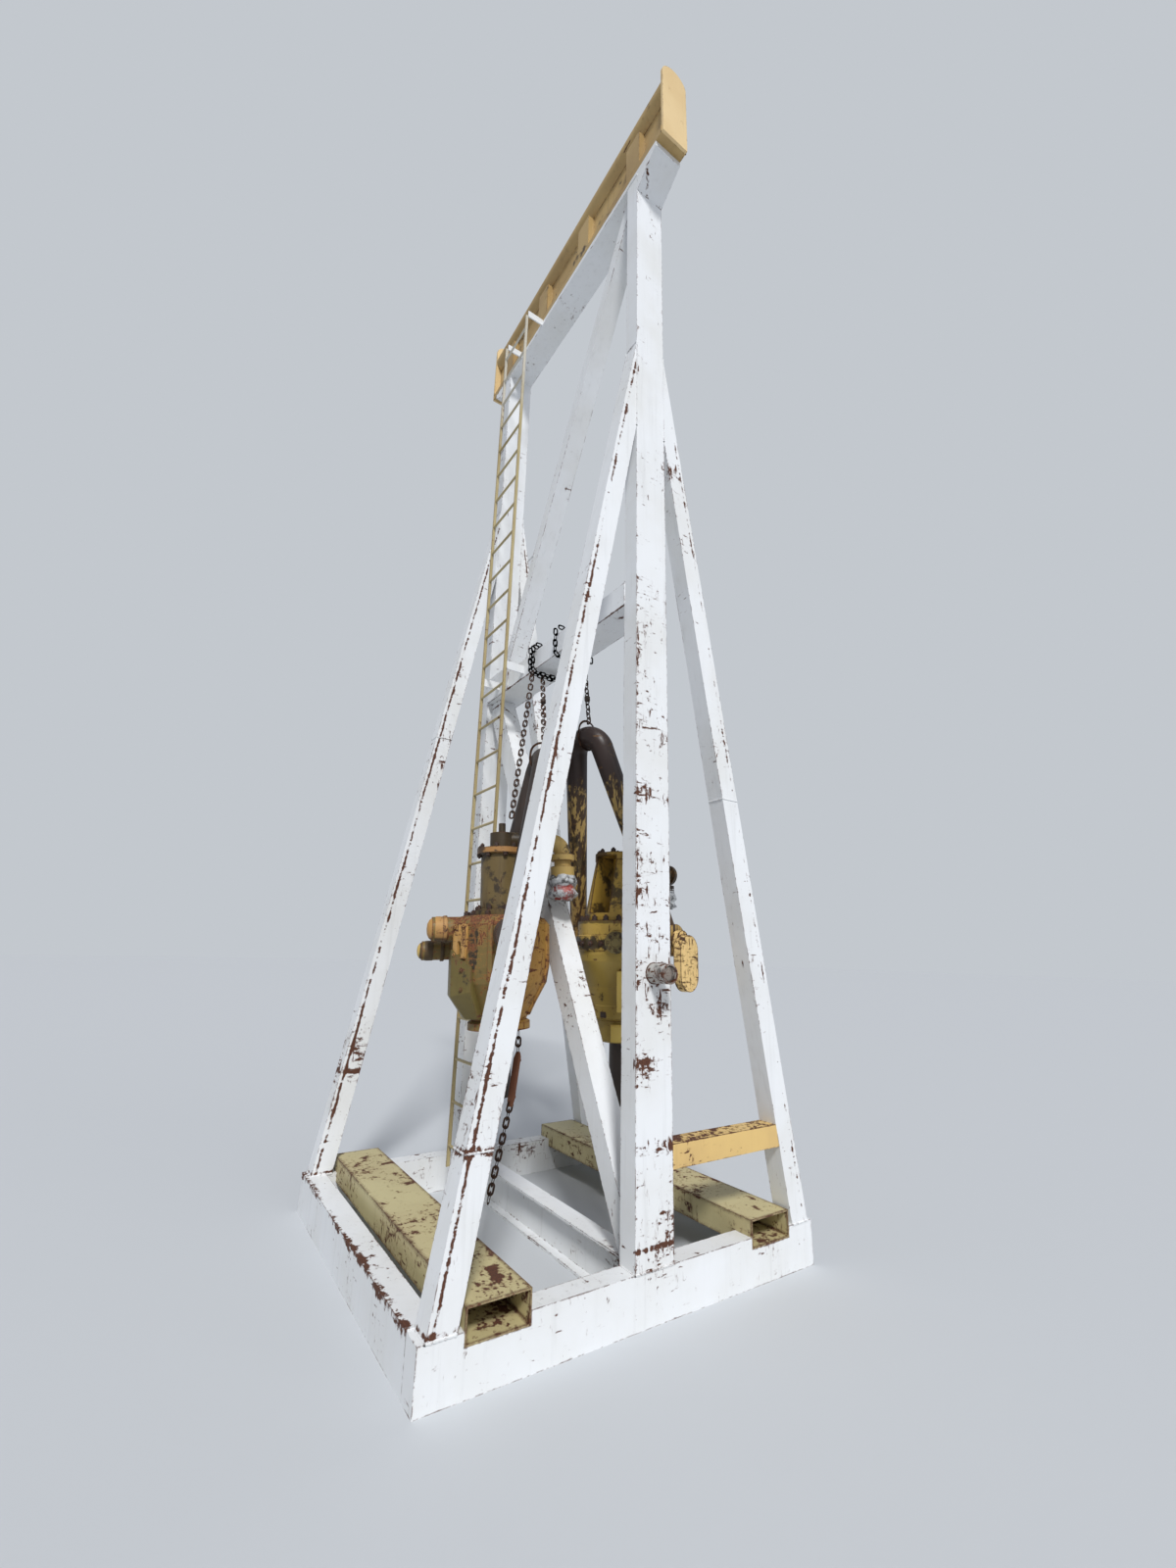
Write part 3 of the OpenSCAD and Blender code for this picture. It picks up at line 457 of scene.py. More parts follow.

# Bails. Forged bars bent over at the top and eyed at the pins. The left one is bare and black with
# handling; the right one is yellow on its legs and painted near-black over the bow as painted shade.
black_steel = painted_steel("black_steel", (0.035, 0.026, 0.022), (0.055, 0.04, 0.032),
                            bare=(0.02, 0.014, 0.012), rust=(0.13, 0.05, 0.025), chipped=0.5, edge=0.02,
                            shine=0.45, bleed=0.5)
bail_paint = painted_steel("bail_paint", (0.46, 0.31, 0.10), (0.34, 0.21, 0.07), bare=(0.03, 0.014, 0.01),
                           # dark_from paints the bow near-black: painted shade of its underside.
                           rust=(0.11, 0.04, 0.02), chipped=0.6, edge=0.01, dark_from=3.08, patches=0.35,
                           bleed=0.7, streaks=0.95, run_amount=0.95, run_colour=(0.045, 0.024, 0.016))
dress(black_steel, "left_bail")
dress(bail_paint, "right_bail")

# Left swivel. A cast body in orange-brown paint with two capped bumpers, a dark bolted bonnet on top
# and a gooseneck that comes down to a hammer union. It hangs on the pins of its bail.
left_pin, left_turn = (0.131, -0.463, 1.95), math.radians(-17)
toward_left = (math.sin(left_turn), -math.cos(left_turn), 0)
body_left = left_pin[0] * math.sin(left_turn) - left_pin[1] * math.cos(left_turn)
rusty_paint = painted_steel("rusty_paint", (0.52, 0.30, 0.07), (0.40, 0.20, 0.05), bare=(0.07, 0.03, 0.018),
                            rust=(0.28, 0.1, 0.035), chipped=0.78, edge=0.02, patches=0.1, run_amount=0.5,
                            run_colour=(0.16, 0.095, 0.035), bleed=0.6, shine=0.5,
                            # The tint toward the left is painted shade: it turns the side of the body away
                            # from the union dark olive.
                            tints=((toward_left, body_left + 0.06, 0.05, (0.14, 0.105, 0.032), 0.9),),
                            grease_and_shadow=(((*left_pin[:2], 2.09), (0.4, 0.4, 0.03), 0.75),
                                    # The second, tall narrow ball is a painted shadow line down the body
                                    # beside the bracket.
                                    ((0.31, -0.74, 1.93), (0.035, 0.03, 0.24), 0.9)))
bonnet_paint = painted_steel("bonnet_paint", (0.17, 0.12, 0.045), (0.12, 0.08, 0.03),
                             bare=(0.03, 0.02, 0.014), rust=(0.12, 0.06, 0.03), chipped=0.62, edge=0.012,
                             patches=0.45, run_amount=0.6, run_colour=(0.05, 0.034, 0.02),
                             tints=((upward, 2.515, 0.006, (0.42, 0.21, 0.07), 0.85),))
dress(rusty_paint, "left_body")
dress(bonnet_paint, "left_bonnet")
neck_paint = painted_steel("neck_paint", (0.52, 0.36, 0.12), (0.42, 0.26, 0.075), chipped=0.42, edge=0.015,
                           patches=0.3, bleed=0.7, run_amount=0.4,
                           grease_and_shadow=(((0.131, -0.47, 2.72), (0.2, 0.2, 0.22), 0.93),))
dress(neck_paint, "left_gooseneck")
dress(black_steel, "left_stem", "right_stem")
left_place = (Matrix.Translation(left_pin) @ Matrix.Rotation(left_turn, 4, "Z")
              @ Matrix.Rotation(math.radians(2.4), 4, "X"))


def along_z(turn):
    return Matrix.Rotation(turn, 4, "Z")


outward = Matrix.Rotation(math.pi / 2, 4, "Y")


def hex_bolt(mesh, place, width, height):
    washer = width * 1.35 * 0.5
    bmesh.ops.create_cone(mesh, cap_ends=True, segments=16, radius1=washer, radius2=washer,
                          depth=height * 0.18, matrix=place @ Matrix.Translation((0, 0, height * 0.09)))
    head = bmesh.ops.create_cone(mesh, cap_ends=True, segments=6, radius1=width * 0.56,
                                 radius2=width * 0.56, depth=height * 0.62,
                                 matrix=place @ Matrix.Translation((0, 0, height * 0.49)))
    top = max({f for v in head["verts"] for f in v.link_faces},
              key=lambda f: (place.inverted() @ f.calc_center_median()).z)
    bmesh.ops.bevel(mesh, geom=list(top.edges), offset=width * 0.06, affect="EDGES", segments=1, profile=0.5,
                    material=-1)
    bmesh.ops.create_cone(mesh, cap_ends=True, segments=12, radius1=width * 0.3, radius2=width * 0.26,
                          depth=height * 0.3, matrix=place @ Matrix.Translation((0, 0, height * 0.9)))


def bolt_circle(mesh, place, radius, level, count, width, height, down=False, shift=0.0):
    for i in range(count):
        turn = along_z(2 * math.pi * (i + shift) / count)
        flip = Matrix.Rotation(math.pi, 4, "X") if down else Matrix.Identity(4)
        twist = along_z(random.uniform(0, 1))
        hex_bolt(mesh, place @ turn @ Matrix.Translation((radius, 0, level)) @ flip @ twist, width, height)


left_bolts = bmesh.new()
bolt_circle(left_bolts, left_place, 0.167, 0.175, 10, 0.03, 0.032)
bolt_circle(left_bolts, left_place, 0.160, 0.57, 8, 0.03, 0.028, down=True)
bolt_circle(left_bolts, left_place, 0.238, 0.135, 12, 0.034, 0.034)
bolt_circle(left_bolts, left_place, 0.160, 0.61, 8, 0.028, 0.03, shift=0.5)
new_piece("left_bolts", left_bolts, black_steel, "left_swivel")

# Ribs of the left body. They are cast with it and wear the same orange-brown paint. Each runs down
# from the bonnet's foot and fades into the taper.


def cast_rib(mesh, place, sections):
    corners = []
    for outer, level, wide, deep in sections:
        corners.append([mesh.verts.new(place @ Vector((outer - x * deep, y * wide / 2, level)))
                        for x, y in ((1, -1), (0, -1), (0, 1), (1, 1))])
    mesh.faces.new(corners[0])
    mesh.faces.new(corners[-1])
    for above, below in zip(corners, corners[1:]):
        for i in range(4):
            mesh.faces.new((above[i], above[(i + 1) % 4], below[(i + 1) % 4], below[i]))


def soften(mesh, offset=0.006):
    bmesh.ops.recalc_face_normals(mesh, faces=mesh.faces)
    bmesh.ops.bevel(mesh, geom=[e for e in mesh.edges if e.calc_face_angle(0) > 0.5], offset=offset,
                    affect="EDGES", segments=2, profile=0.5, material=-1)


left_ribs = bmesh.new()
for turn in (-128, -20, 20, 61, 100, 140, 170):
    cast_rib(left_ribs, left_place @ along_z(math.radians(turn)),
             ((0.315, 0.115, 0.036, 0.05), (0.353, 0.07, 0.036, 0.052), (0.353, -0.2, 0.036, 0.052),
              (0.333, -0.31, 0.034, 0.05), (0.258, -0.44, 0.03, 0.04), (0.218, -0.52, 0.026, 0.03)))
soften(left_ribs)
new_piece("left_ribs", left_ribs, rusty_paint, "left_swivel")

# Guard and bracket of the left body. A faceted sheet housing covers the side away from the union; its
# dark olive colour is painted shade over the body's yellow paint. A slotted plate in orange paint is
# bolted on above it.
# Dark olive here is painted shade: the housing wears the body's yellow paint.
guard_shade_paint = painted_steel("guard_shade_paint", (0.17, 0.13, 0.036), (0.115, 0.085, 0.025),
                            bare=(0.05, 0.026, 0.018), rust=(0.2, 0.08, 0.035), chipped=0.72,
                            edge_amount=0.6, patches=0.1, run_amount=0.3, bleed=0.6, shine=0.5)
bracket_paint = painted_steel("bracket_paint", (0.62, 0.40, 0.14), (0.50, 0.27, 0.08), chipped=0.68,
                              edge=0.008, run_amount=0.3, bleed=0.6)


def faceted_shell(mesh, place, turns, rows, thick):
    sheets = [[[mesh.verts.new(place @ Vector(((r - inset) * math.cos(math.radians(a)),
                                               (r - inset) * math.sin(math.radians(a)), z)))
                for a, (r, z) in zip(turns, row)] for row in rows] for inset in (0, thick)]
    down, along = len(rows) - 1, len(turns) - 1
    for sheet in sheets:
        for i in range(down):
            for j in range(along):
                mesh.faces.new((sheet[i][j], sheet[i + 1][j], sheet[i + 1][j + 1], sheet[i][j + 1]))
    rim = ([(0, j) for j in range(along)] + [(i, along) for i in range(down)]
           + [(down, j) for j in range(along, 0, -1)] + [(i, 0) for i in range(down, 0, -1)])
    for (i, j), (k, m) in zip(rim, rim[1:] + rim[:1]):
        mesh.faces.new((sheets[0][i][j], sheets[0][k][m], sheets[1][k][m], sheets[1][i][j]))


left_guard = bmesh.new()
faceted_shell(left_guard, left_place, (-41, -69, -104),
              (((0.347, -0.20), (0.370, -0.087), (0.352, -0.087)),
               ((0.347, -0.35), (0.368, -0.384), (0.352, -0.384)),
               ((0.257, -0.525), (0.255, -0.53), (0.25, -0.53))), 0.07)
soften(left_guard, 0.004)
bolt_circle(left_guard, left_place @ along_z(math.radians(-55)) @ Matrix.Translation((0.344, 0, -0.28))
            @ outward, 0.06, 0, 2, 0.022, 0.016)
new_piece("left_guard", left_guard, guard_shade_paint, "left_swivel")


def flat_plate(mesh, place, near, far, outline):
    under, over = ([mesh.verts.new(place @ Vector((reach, y, z))) for y, z in outline]
                   for reach in (near, far))
    mesh.faces.new(under)
    mesh.faces.new(over)
    for i in range(len(over)):
        mesh.faces.new((over[i], over[i - 1], under[i - 1], under[i]))


left_bracket = bmesh.new()
bracket_place = left_place @ along_z(math.radians(-59)) @ Matrix.Translation((0.328, 0, 0))
flat_plate(left_bracket, bracket_place, 0.0, 0.026, (
    (-0.066, 0.08), (0.066, 0.08), (0.066, -0.05), (0.055, -0.145), (0.018, -0.145), (0.018, -0.045),
    (0.010, -0.035), (-0.010, -0.035), (-0.018, -0.045), (-0.018, -0.16), (-0.066, -0.16)))
soften(left_bracket, 0.003)
for y, z in ((-0.045, 0.055), (0.045, 0.055), (-0.042, -0.12)):
    hex_bolt(left_bracket, bracket_place @ Matrix.Translation((0.0255, y, z)) @ outward, 0.022, 0.016)
new_piece("left_bracket", left_bracket, bracket_paint, "left_swivel")

# Bumper caps. The two bumpers of the left body end in domed caps in worn orange paint, each held by a
# ring near the bumper's root. The lower one is painted near-black but for its end: painted shade of its
# underside.
bumper_paint = painted_steel("bumper_paint", (0.50, 0.27, 0.075), (0.36, 0.2, 0.08),
                             bare=(0.04, 0.026, 0.02), rust=(0.24, 0.11, 0.05), chipped=0.7, edge=0.01,
                             patches=0.2, bleed=0.6, shine=0.6,
                             # The first tint is painted shade that turns the lower bumper near-black below a
                             # height; the second keeps its end orange.
                             tints=((downward, -1.922, 0.006, (0.05, 0.036, 0.02), 0.92),
                                    (toward_left, body_left + 0.535, 0.004, (0.66, 0.46, 0.14), 0.95)))


def turned(mesh, place, outline, steps=40):
    verts = [mesh.verts.new((radius, 0, level)) for radius, level in outline]
    edges = [mesh.edges.new(pair) for pair in zip(verts, verts[1:])]
    bmesh.ops.spin(mesh, geom=verts + edges, cent=(0, 0, 0), axis=(0, 0, 1), angle=2 * math.pi,
                   steps=steps, use_merge=True, use_duplicate=False)
    fresh = [v for v in mesh.verts if v.is_valid and not v.tag]
    bmesh.ops.remove_doubles(mesh, verts=fresh, dist=1e-6)
    fresh = [v for v in mesh.verts if not v.tag]
    bmesh.ops.transform(mesh, matrix=place, verts=fresh)
    for v in mesh.verts:
        v.tag = True


bumpers = bmesh.new()
for place, size, reach in ((Matrix.Translation((0.06, 0, 0.05)), 0.080, 0.475),
                           (Matrix.Translation((-0.11, 0, -0.09)), 0.064, 0.525)):
    out_along = left_place @ place @ Matrix.Rotation(math.pi / 2, 4, "X")
    turned(bumpers, out_along, [(0, reach + 0.032), (size * 0.45, reach + 0.028),
                                (size * 0.75, reach + 0.016), (size * 0.93, reach - 0.002),
                                (size + 0.003, reach - 0.03), (size + 0.003, reach - 0.075),
                                (size - 0.006, reach - 0.08)])
    turned(bumpers, out_along, [(size - 0.01, 0.375), (size + 0.007, 0.375), (size + 0.009, 0.379),
                                (size + 0.009, 0.396), (size + 0.007, 0.4), (size - 0.01, 0.4)])
new_piece("bumper_caps", bumpers, bumper_paint, "left_swivel")

# Right swivel. A yellow cast body with a bolted ring round its top, black with grease, a yoke that
# carries the gooseneck through its window, and a flat weight hung from the end of one bail pin.
right_pin, right_turn = (0.285, 0.485, 1.95), math.radians(13)
toward_plate = (math.cos(right_turn), math.sin(right_turn), 0)
plate_side = right_pin[0] * math.cos(right_turn) + right_pin[1] * math.sin(right_turn)
greasy = {"bare": (0.03, 0.018, 0.012), "rust": (0.16, 0.07, 0.03), "bleed": 0.6}
swivel_paint = painted_steel("swivel_paint", (0.52, 0.36, 0.08), (0.42, 0.27, 0.06), **greasy,
                             chipped=0.58, edge=0.016, patches=0.1, run_amount=0.4,
                             bands=((1.99, 0.12, 0.16),),
                             lines=((toward_plate, plate_side + 0.6, 0.12, 0.36),),
                             grease_and_shadow=(((*right_pin[:2], 1.915), (0.42, 0.42, 0.075), 0.94),
                                     ((*right_pin[:2], 2.075), (0.5, 0.5, 0.022), 0.7)),
                             # The first tint is painted shade: it darkens the body a little below the bail
                             # pins.
                             tints=((downward, -1.85, 0.02, (0.23, 0.17, 0.035), 0.55),
                                    (toward_plate, plate_side + 0.508, 0.008, (0.80, 0.56, 0.24), 0.95)))
yoke_paint = painted_steel("yoke_paint", (0.50, 0.32, 0.06), (0.40, 0.25, 0.05), **greasy, chipped=0.42,
                           edge=0.025, patches=0.75, run_amount=0.5, bands=((2.56, 0.1, 0.3),))
elbow_paint = painted_steel("elbow_paint", (0.50, 0.32, 0.06), (0.40, 0.25, 0.05), **greasy, chipped=0.6,
                            edge=0.015, patches=0.5,
                            grease_and_shadow=(((0.162, 1.03, 2.46), (0.19, 0.19, 0.19), 0.93),))
dress(swivel_paint, "right_body")
dress(yoke_paint, "right_bonnet")
dress(elbow_paint, "right_gooseneck")
right_place = Matrix.Translation(right_pin) @ along_z(right_turn)
right_bolts = bmesh.new()
bolt_circle(right_bolts, right_place, 0.309, 0.13, 20, 0.036, 0.04)
bolt_circle(right_bolts, right_place, 0.18, 0.65, 10, 0.034, 0.034)
bolt_circle(right_bolts, right_place, 0.055, 0.65, 4, 0.03, 0.03)
side_bolts = 24
for i in range(side_bolts):
    turn = along_z(2 * math.pi * i / side_bolts)
    hex_bolt(right_bolts, right_place @ turn @ Matrix.Translation((0.346, 0, -0.035)) @ outward, 0.03, 0.024)
new_piece("right_bolts", right_bolts, black_steel, "right_swivel")

# Cover, ribs, seam, lug and port of the right body. A round cover with its own small bolts sits on the
# greasy band, four flat ribs run down to the taper, and a seam, a lug and a dark port mark the foot.
# The cover is bolted on and the others are cast with the body. The ribs, seam and lug wear a lighter copy
# of the body's yellow, which is painted light.
# Painted light: a lighter copy of the body's yellow paint, as it looks in sun.
sunlit_fitting_paint = painted_steel("sunlit_fitting_paint", (0.72, 0.53, 0.13), (0.60, 0.42, 0.10), **greasy, chipped=0.5,
                              edge=0.01, patches=0.1)
cover_paint = painted_steel("cover_paint", (0.22, 0.17, 0.06), (0.15, 0.11, 0.04), bare=(0.02, 0.014, 0.01),
                            rust=(0.1, 0.05, 0.025), chipped=0.62, edge=0.01, patches=0.9, bleed=0.6)
right_cover = bmesh.new()
cover_turn = along_z(math.radians(-57))
cover_place = right_place @ cover_turn @ Matrix.Translation((0, 0, -0.026)) @ outward
turned(right_cover, cover_place, [(0, 0.372), (0.030, 0.372), (0.034, 0.368), (0.062, 0.368), (0.072, 0.364),
                                  (0.078, 0.356), (0.078, 0.31), (0, 0.31)])
bolt_circle(right_cover, cover_place, 0.054, 0.367, 8, 0.018, 0.012)
new_piece("right_cover", right_cover, cover_paint, "right_swivel")
right_fittings = bmesh.new()
for turn in (-52, 38, 128, 218):
    cast_rib(right_fittings, right_place @ along_z(math.radians(turn)),
             ((0.346, -0.22, 0.042, 0.10), (0.346, -0.40, 0.042, 0.12), (0.300, -0.496, 0.042, 0.10)))
cast_rib(right_fittings, right_place @ cover_turn,
         ((0.225, -0.585, 0.09, 0.08), (0.235, -0.6, 0.09, 0.08), (0.235, -0.70, 0.09, 0.09)))
soften(right_fittings, 0.004)
turned(right_fittings, right_place, [(0.232, -0.468), (0.246, -0.466), (0.250, -0.462), (0.250, -0.458),
                                     (0.246, -0.454), (0.232, -0.452), (0.232, -0.468)], 72)
new_piece("right_fittings", right_fittings, sunlit_fitting_paint, "right_swivel")
right_port = bmesh.new()
cast_rib(right_port, right_place @ along_z(math.radians(-82)),
         ((0.244, -0.500, 0.05, 0.03), (0.244, -0.542, 0.05, 0.03)))
soften(right_port, 0.005)
new_piece("right_port", right_port, black_steel, "right_swivel")

# Plastic wraps. Both unions are wrapped against rain in thin sheeting that has gone grey, crumpled
# round the pipe and drawn in at its top and foot; a faded red rag shows through the left one. The
# sheeting is dark in the hollows of its creases: partly its black print, partly painted shade.


def plastic(name, red):
    made = bpy.data.materials.new(name)
    made.use_nodes = True
    tree = made.node_tree
    shader = tree.nodes["Principled BSDF"]
    place = node(tree, "TexCoord").outputs["Object"]
    creases = grain_of(tree, place, 26, 6, 0.7)
    # Dark in the hollows of the creases and pale on their ridges: partly black print, partly painted shade.
    colour = blend(tree, step_up(tree, creases, 0.35, 0.62), (0.07, 0.066, 0.062), (0.66, 0.68, 0.69))
    if red:
        away = calc(tree, "ADD", vector_of(tree, "DISTANCE", place, red),
                    calc(tree, "MULTIPLY", creases, 0.08))
        colour = blend(tree, step_up(tree, away, 0.135, 0.115), colour, (0.36, 0.06, 0.045))
    feed(tree, colour, shader.inputs["Base Color"])
    feed(tree, step_up(tree, creases, 0.3, 0.7, 0.18, 0.4), shader.inputs["Roughness"])
    roughen(tree, shader, creases, 0.7, 0.008)
    return made


def wrap_union(name, place, reach, top, bottom, finish, body, seed):
    mesh = bmesh.new()
    rows, outline = 16, []
    for i in range(rows + 1):
        drawn_in = (0.018 if i < 2 else 0) + (0.02 if i > rows - 2 else 0)
        outline.append((0.094 + 0.010 * math.sin(i * 0.9 + seed) - drawn_in, top - (top - bottom) * i / rows))
    turned(mesh, place @ Matrix.Translation((0, reach, 0)), outline, 48)
    for v in mesh.verts:
        out_from = v.co - (place @ Vector((0, reach, 0)))
        out_from.z = 0
        push = noise.fractal(v.co * 21 + Vector((seed, 0, 0)), 0.9, 2.1, 4)
        fold = noise.noise(Vector((v.co.x * 30, v.co.y * 30, v.co.z * 9 + seed)))
        v.co += out_from.normalized() * max(-0.004, 0.008 * push + 0.009 * fold + 0.006)
        v.co.z += 0.006 * noise.noise(v.co * 40)
    piece = new_piece(name, mesh, finish, body)
    thick = piece.modifiers.new("sheet", "SOLIDIFY")
    thick.thickness = 0.0012
    thick.offset = 0


left_reach, right_reach = 0.455, 0.545
rag = tuple(left_place @ Vector((0.02, left_reach, 0.31)))
wrap_union("left_plastic", left_place, left_reach, 0.45, 0.245, plastic("left_sheeting", rag),
           "left_swivel", 3)
wrap_union("right_plastic", right_place, right_reach, 0.43, 0.27, plastic("right_sheeting", None),
           "right_swivel", 8)

# Chains. Short welded oval links of 14 mm bar, rusty under old black grease. Each chain is wound round
# the cross beam and runs down to a ring round the bow of its bail, with a joining link on the way. A
# loose tail hangs beside the left one.
chain_steel = painted_steel("chain_steel", (0.05, 0.036, 0.028), (0.085, 0.055, 0.036),
                            bare=(0.025, 0.016, 0.013), rust=(0.2, 0.08, 0.035), chipped=0.55, edge=0.004,
                            shine=0.55, bumpy=0.5)
wire, pitch, link_gap, corner_stretch = 0.007, 0.045, 0.0006, 0.0008
link_reach, link_wide = pitch / 2 + wire + link_gap / 2, 0.0165
cross_middle = cross_low + cross_high / 2
corner_step = (link_reach + wire + corner_stretch + link_gap) / math.sqrt(2)
corner_q = pitch / 2 / math.sqrt(2)
wrap_a = post_half + corner_step - corner_q
wrap_b = cross_high / 2 + corner_step - corner_q
across_count = 2 * round(wrap_a / pitch)
height_count = 2 * round(wrap_b / pitch)


def oval(mesh, place, thickness, wide, up, down, around=8, steps=16):
    upright = Matrix.Translation((wide, 0, 0)) @ Matrix.Rotation(math.pi / 2, 4, "X")
    ring = bmesh.ops.create_circle(mesh, segments=around, radius=thickness, matrix=upright)["verts"]
    edges = list({e for v in ring for e in v.link_edges})
    bmesh.ops.rotate(mesh, verts=ring, cent=(0, 0, 0), matrix=Matrix.Rotation(math.pi / steps, 3, "Y"))
    bmesh.ops.spin(mesh, geom=ring + edges, cent=(0, 0, 0), axis=(0, 1, 0), angle=2 * math.pi, steps=steps,
                   use_merge=True, use_duplicate=False)
    fresh = [v for v in mesh.verts if not v.tag]
    for v in fresh:
        v.co.z += up if v.co.z > 0 else -down
    bmesh.ops.transform(mesh, matrix=place, verts=fresh)
    for v in mesh.verts:
        v.tag = True


def oval_link(mesh, place, extra=0.0):
    straight = link_reach + extra - link_wide
    oval(mesh, place, wire, link_wide, straight, straight)


def run_round_beam(mesh, x, start, end, count, first, extra=0.0):
    step = ((end[0] - start[0]) / count, (end[1] - start[1]) / count)
    for i in range(count):
        middle = (x, start[0] + (i + 0.5) * step[0], cross_middle + start[1] + (i + 0.5) * step[1])
        place = (Matrix.Translation(middle) @ Matrix.Rotation(math.atan2(-step[0], step[1]), 4, "X")
                 @ along_z(math.pi / 2 * (1 - (first + i) % 2)))
        oval_link(mesh, place, extra)


def wind_round_beam(mesh, x):
    a, b = wrap_a, wrap_b
    c, d = a + 2 * corner_q, b + 2 * corner_q
    for start, end, count, first in (
            ((-a, d), (a, d), across_count, 0), ((a, d), (c, b), 1, across_count),
            ((c, b), (c, -b), height_count, 1), ((c, -b), (a, -d), 1, 1),
            ((a, -d), (-a, -d), across_count, 0), ((-a, -d), (-c, -b), 1, 0),
            ((-c, -b), (-c, b), height_count, 1), ((-c, b), (-a, d), 1, 1)):
        run_round_beam(mesh, x, start, end, count, first, corner_stretch if count == 1 else 0.0)


def facing_along(start, end):
    run = Vector(end) - Vector(start)
    spin = math.atan2(run.y, run.x)
    lean = math.acos(run.z / run.length)
    return run.length, spin, Matrix.Translation(start) @ along_z(spin) @ Matrix.Rotation(lean, 4, "Y")


sling_wire, sling_rise = 0.009, 0.042
sling_ring = 0.086 + 0.0003 + 0.0004 + sling_wire


def hang_strand(mesh, start, bar, turn, joiner):
    away = Vector(start) - Vector(bar)
    tilt = -math.atan2(math.cos(turn) * away.y - math.sin(turn) * away.x, away.z)
    upward = Vector((math.sin(turn) * math.sin(tilt), -math.cos(turn) * math.sin(tilt), math.cos(tilt)))
    length, spin, place = facing_along(start, Vector(bar) + (sling_rise + sling_ring) * upward)
    span = length + sling_wire
    count = 2 * math.floor((span / pitch - 1) / 2) + 1
    long = span - (count - 1) * pitch
    for i in range(count):
        past = 1 if i > joiner else 0.5 if i == joiner else 0
        here = (place @ Matrix.Translation((0, 0, (i + 0.5) * pitch + past * (long - pitch)))
                @ along_z(spin + math.pi / 2 * (i % 2) - turn * i / (count - 1)))
        if i == joiner:
            straight = long / 2 + link_gap / 2 - 0.018
            for flip in (0, math.pi):
                oval(mesh, here @ Matrix.Rotation(flip, 4, "X"), wire * 1.05, 0.0175, straight, straight)
            turned(mesh, here, [(0, -0.02), (0.019, -0.02), (0.0225, -0.0165), (0.0225, 0.0165),
                                (0.019, 0.02), (0, 0.02)], 16)
        else:
            oval_link(mesh, here)
    ring_place = (Matrix.Translation(bar) @ along_z(turn) @ Matrix.Rotation(tilt, 4, "X")
                  @ along_z(math.pi / 2) @ Matrix.Rotation(math.pi, 4, "X"))
    oval(mesh, ring_place, sling_wire, sling_ring, 0.0, sling_rise, 10, 40)


def bow_top(pivot, turn, lean, length):
    level_reach = math.sin(lean) * length
    return Vector(pivot) + Vector((-math.sin(turn) * level_reach, math.cos(turn) * level_reach,
                                   math.cos(lean) * length))


across_step = 2 * wrap_a / across_count
hang_level = cross_middle - wrap_b - 2 * corner_q - across_step / 2 - link_gap / 2
left_x, right_x, joining_link = -0.133, 0.238, 6
left_chain = bmesh.new()
for beside in (-0.179, left_x):
    wind_round_beam(left_chain, beside)
hang_strand(left_chain, (left_x, wrap_a - (across_count - 1.5) * across_step, hang_level),
            bow_top(left_pin, left_turn, math.radians(10.5), 1.345), left_turn, joining_link)
corner_k = (link_reach + corner_stretch) / math.sqrt(2)
corner_m = (2 * wire + link_gap / 2) / math.sqrt(2)
below_corner = corner_q + corner_k - corner_m
tail_start = (left_x, -wrap_a - below_corner, cross_middle - wrap_b - below_corner - wire - link_gap / 2)
tail_end = Vector(left_pin) + Vector((-0.111, 0.088, 0.85))
length, spin, place = facing_along(tail_start, tail_end)
for i in range(math.floor(length / pitch)):
    oval_link(left_chain, place @ Matrix.Translation((0, 0, (i + 0.5) * pitch))
              @ along_z(spin + math.pi / 2 * (i % 2) + math.pi / 4 * min(1, i / 8)))
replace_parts(new_piece("left_chain_links", left_chain, chain_steel, "frame"), "left_chain")
right_chain = bmesh.new()
wind_round_beam(right_chain, right_x)
hang_strand(right_chain, (right_x, wrap_a - 0.5 * across_step, hang_level),
            bow_top(right_pin, right_turn, math.radians(-16.2), 1.575), right_turn, joining_link)
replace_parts(new_piece("right_chain_links", right_chain, chain_steel, "frame"), "right_chain")

# Tie-down. A short rusty chain hangs from the left body's foot with a flat binder bar in it, and runs
# down beside the stem to just above the fork pocket that it was once made fast to.
binder_rust = painted_steel("binder_rust", (0.20, 0.075, 0.035), (0.14, 0.05, 0.026),
                            bare=(0.06, 0.026, 0.018), rust=(0.26, 0.1, 0.04), chipped=0.6, edge=0.01,
                            shine=0.7, bumpy=0.6)
tie_down = bmesh.new()
for start, end in (((0.219, -0.330, 1.331), (0.246, -0.340, 1.190)),
                   ((0.280, -0.395, 0.905), (0.341, -0.549, 0.375))):
    length, spin, place = facing_along(start, end)
    for i in range(math.floor(length / pitch)):
        oval_link(tie_down, place @ Matrix.Translation((0, 0, (i + 0.5) * pitch))
                  @ along_z(0.5 + math.pi / 2 * (i % 2)))
new_piece("tie_down_chain", tie_down, chain_steel, "left_swivel")
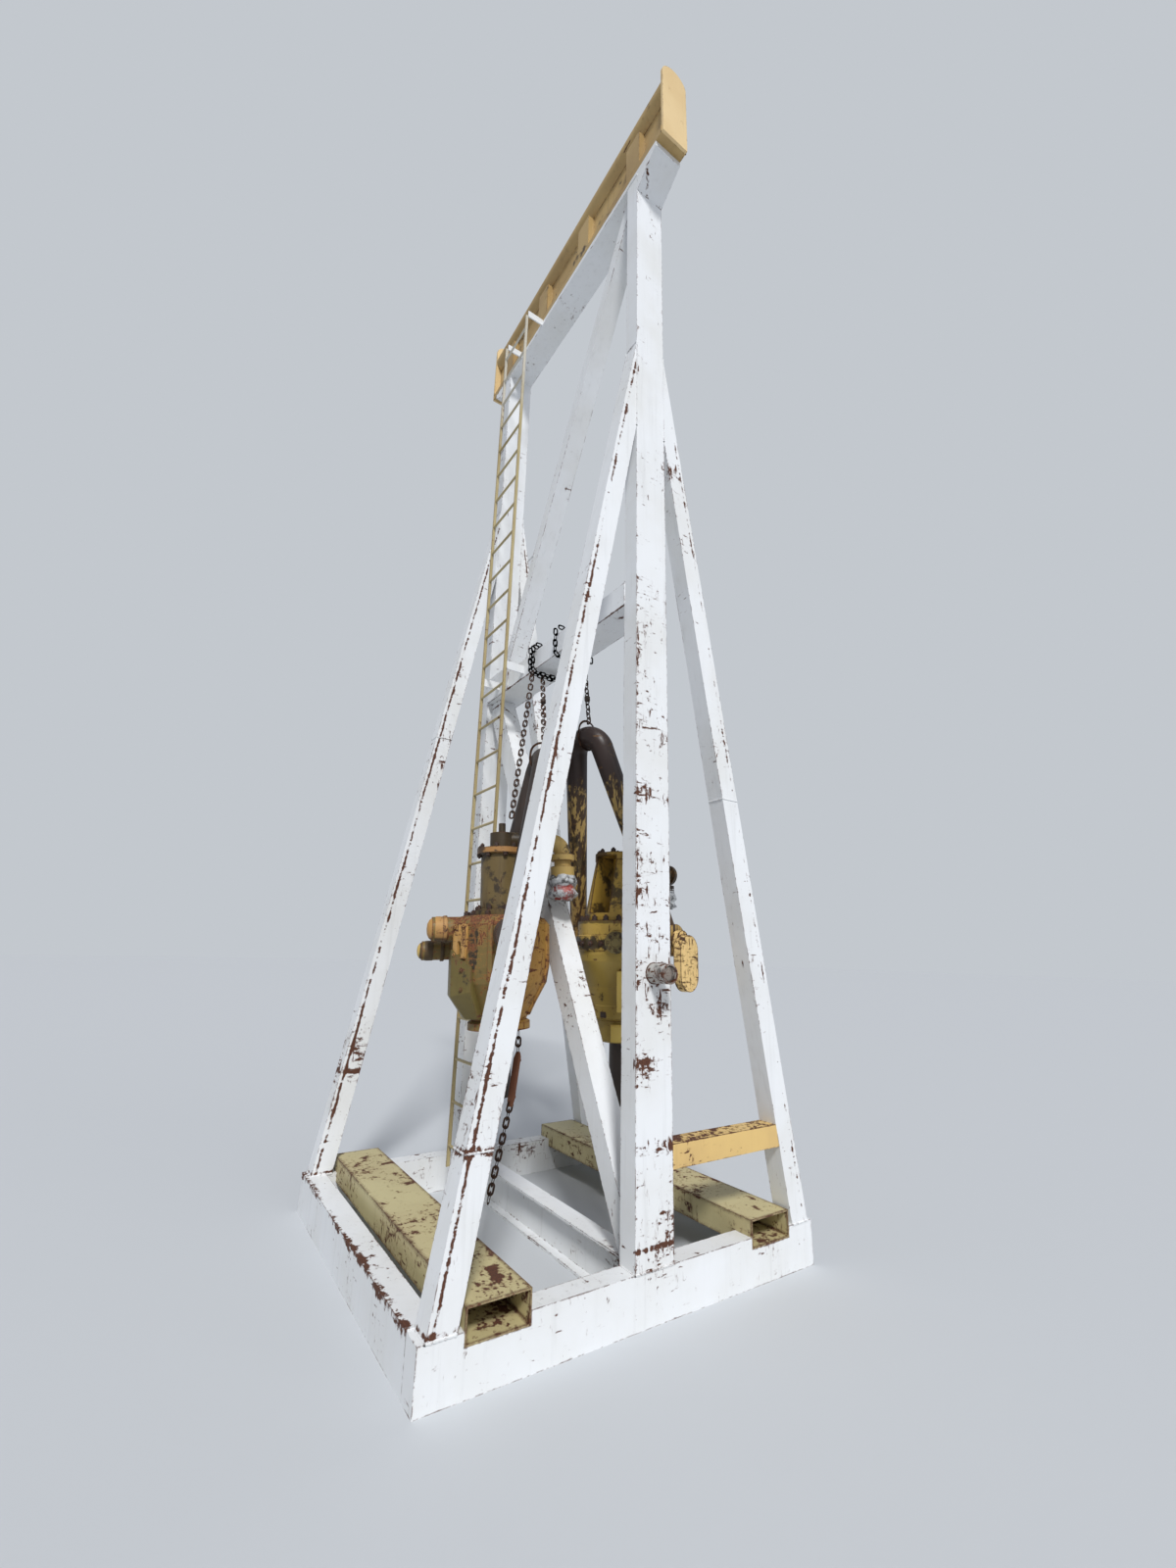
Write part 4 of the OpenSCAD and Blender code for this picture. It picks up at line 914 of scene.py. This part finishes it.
tie_bar = bmesh.new()
length, spin, place = facing_along((0.244, -0.338, 1.205), (0.283, -0.400, 0.885))
place = place @ along_z(math.radians(-27) - spin)
flat_plate(tie_bar, place, -0.008, 0.008, (
    (-0.014, 0.0), (0.014, 0.0), (0.037, 0.03), (0.037, length - 0.05), (0.022, length), (-0.012, length),
    (-0.034, length - 0.03), (-0.037, 0.04)))
soften(tie_bar, 0.003)
for z in (0.05, length - 0.06):
    hex_bolt(tie_bar, place @ Matrix.Translation((0.0075, 0, z)) @ outward, 0.03, 0.02)
new_piece("tie_down_bar", tie_bar, binder_rust, "left_swivel")

# Floor, backdrop and lamps. A plain pale floor runs out to the horizon and the backdrop has its tone,
# so that no seam shows. Two soft suns light the object: one gives it form, one fills the shade.
floor_mesh = bmesh.new()
bmesh.ops.create_grid(floor_mesh, x_segments=8, y_segments=8, size=120)
floor_data = bpy.data.meshes.new("floor")
floor_mesh.to_mesh(floor_data)
floor_mesh.free()
floor = bpy.data.objects.new("floor", floor_data)
bpy.context.scene.collection.objects.link(floor)
pale = bpy.data.materials.new("floor")
pale.use_nodes = True
shade = pale.node_tree.nodes["Principled BSDF"]
shade.inputs["Base Color"].default_value = (0.56, 0.58, 0.6, 1)
shade.inputs["Roughness"].default_value = 0.9
floor_data.materials.append(pale)

world = bpy.data.worlds.new("studio")
bpy.context.scene.world = world
world.use_nodes = True
tree = world.node_tree
backdrop = blend(tree, node(tree, "LightPath").outputs["Is Camera Ray"], (0.33, 0.35, 0.39),
                 (0.546, 0.578, 0.617))
feed(tree, backdrop, tree.nodes["Background"].inputs["Color"])
for name, turn, strength, angle in (("key", (46, 0, 64), 2.7, 10), ("fill", (60, 0, 110), 0.3, 40)):
    lamp = bpy.data.objects.new(name, bpy.data.lights.new(name, "SUN"))
    lamp.rotation_euler = [math.radians(v) for v in turn]
    lamp.data.energy = strength
    lamp.data.angle = math.radians(angle)
    bpy.context.scene.collection.objects.link(lamp)
bpy.context.scene.view_settings.view_transform = "Standard"
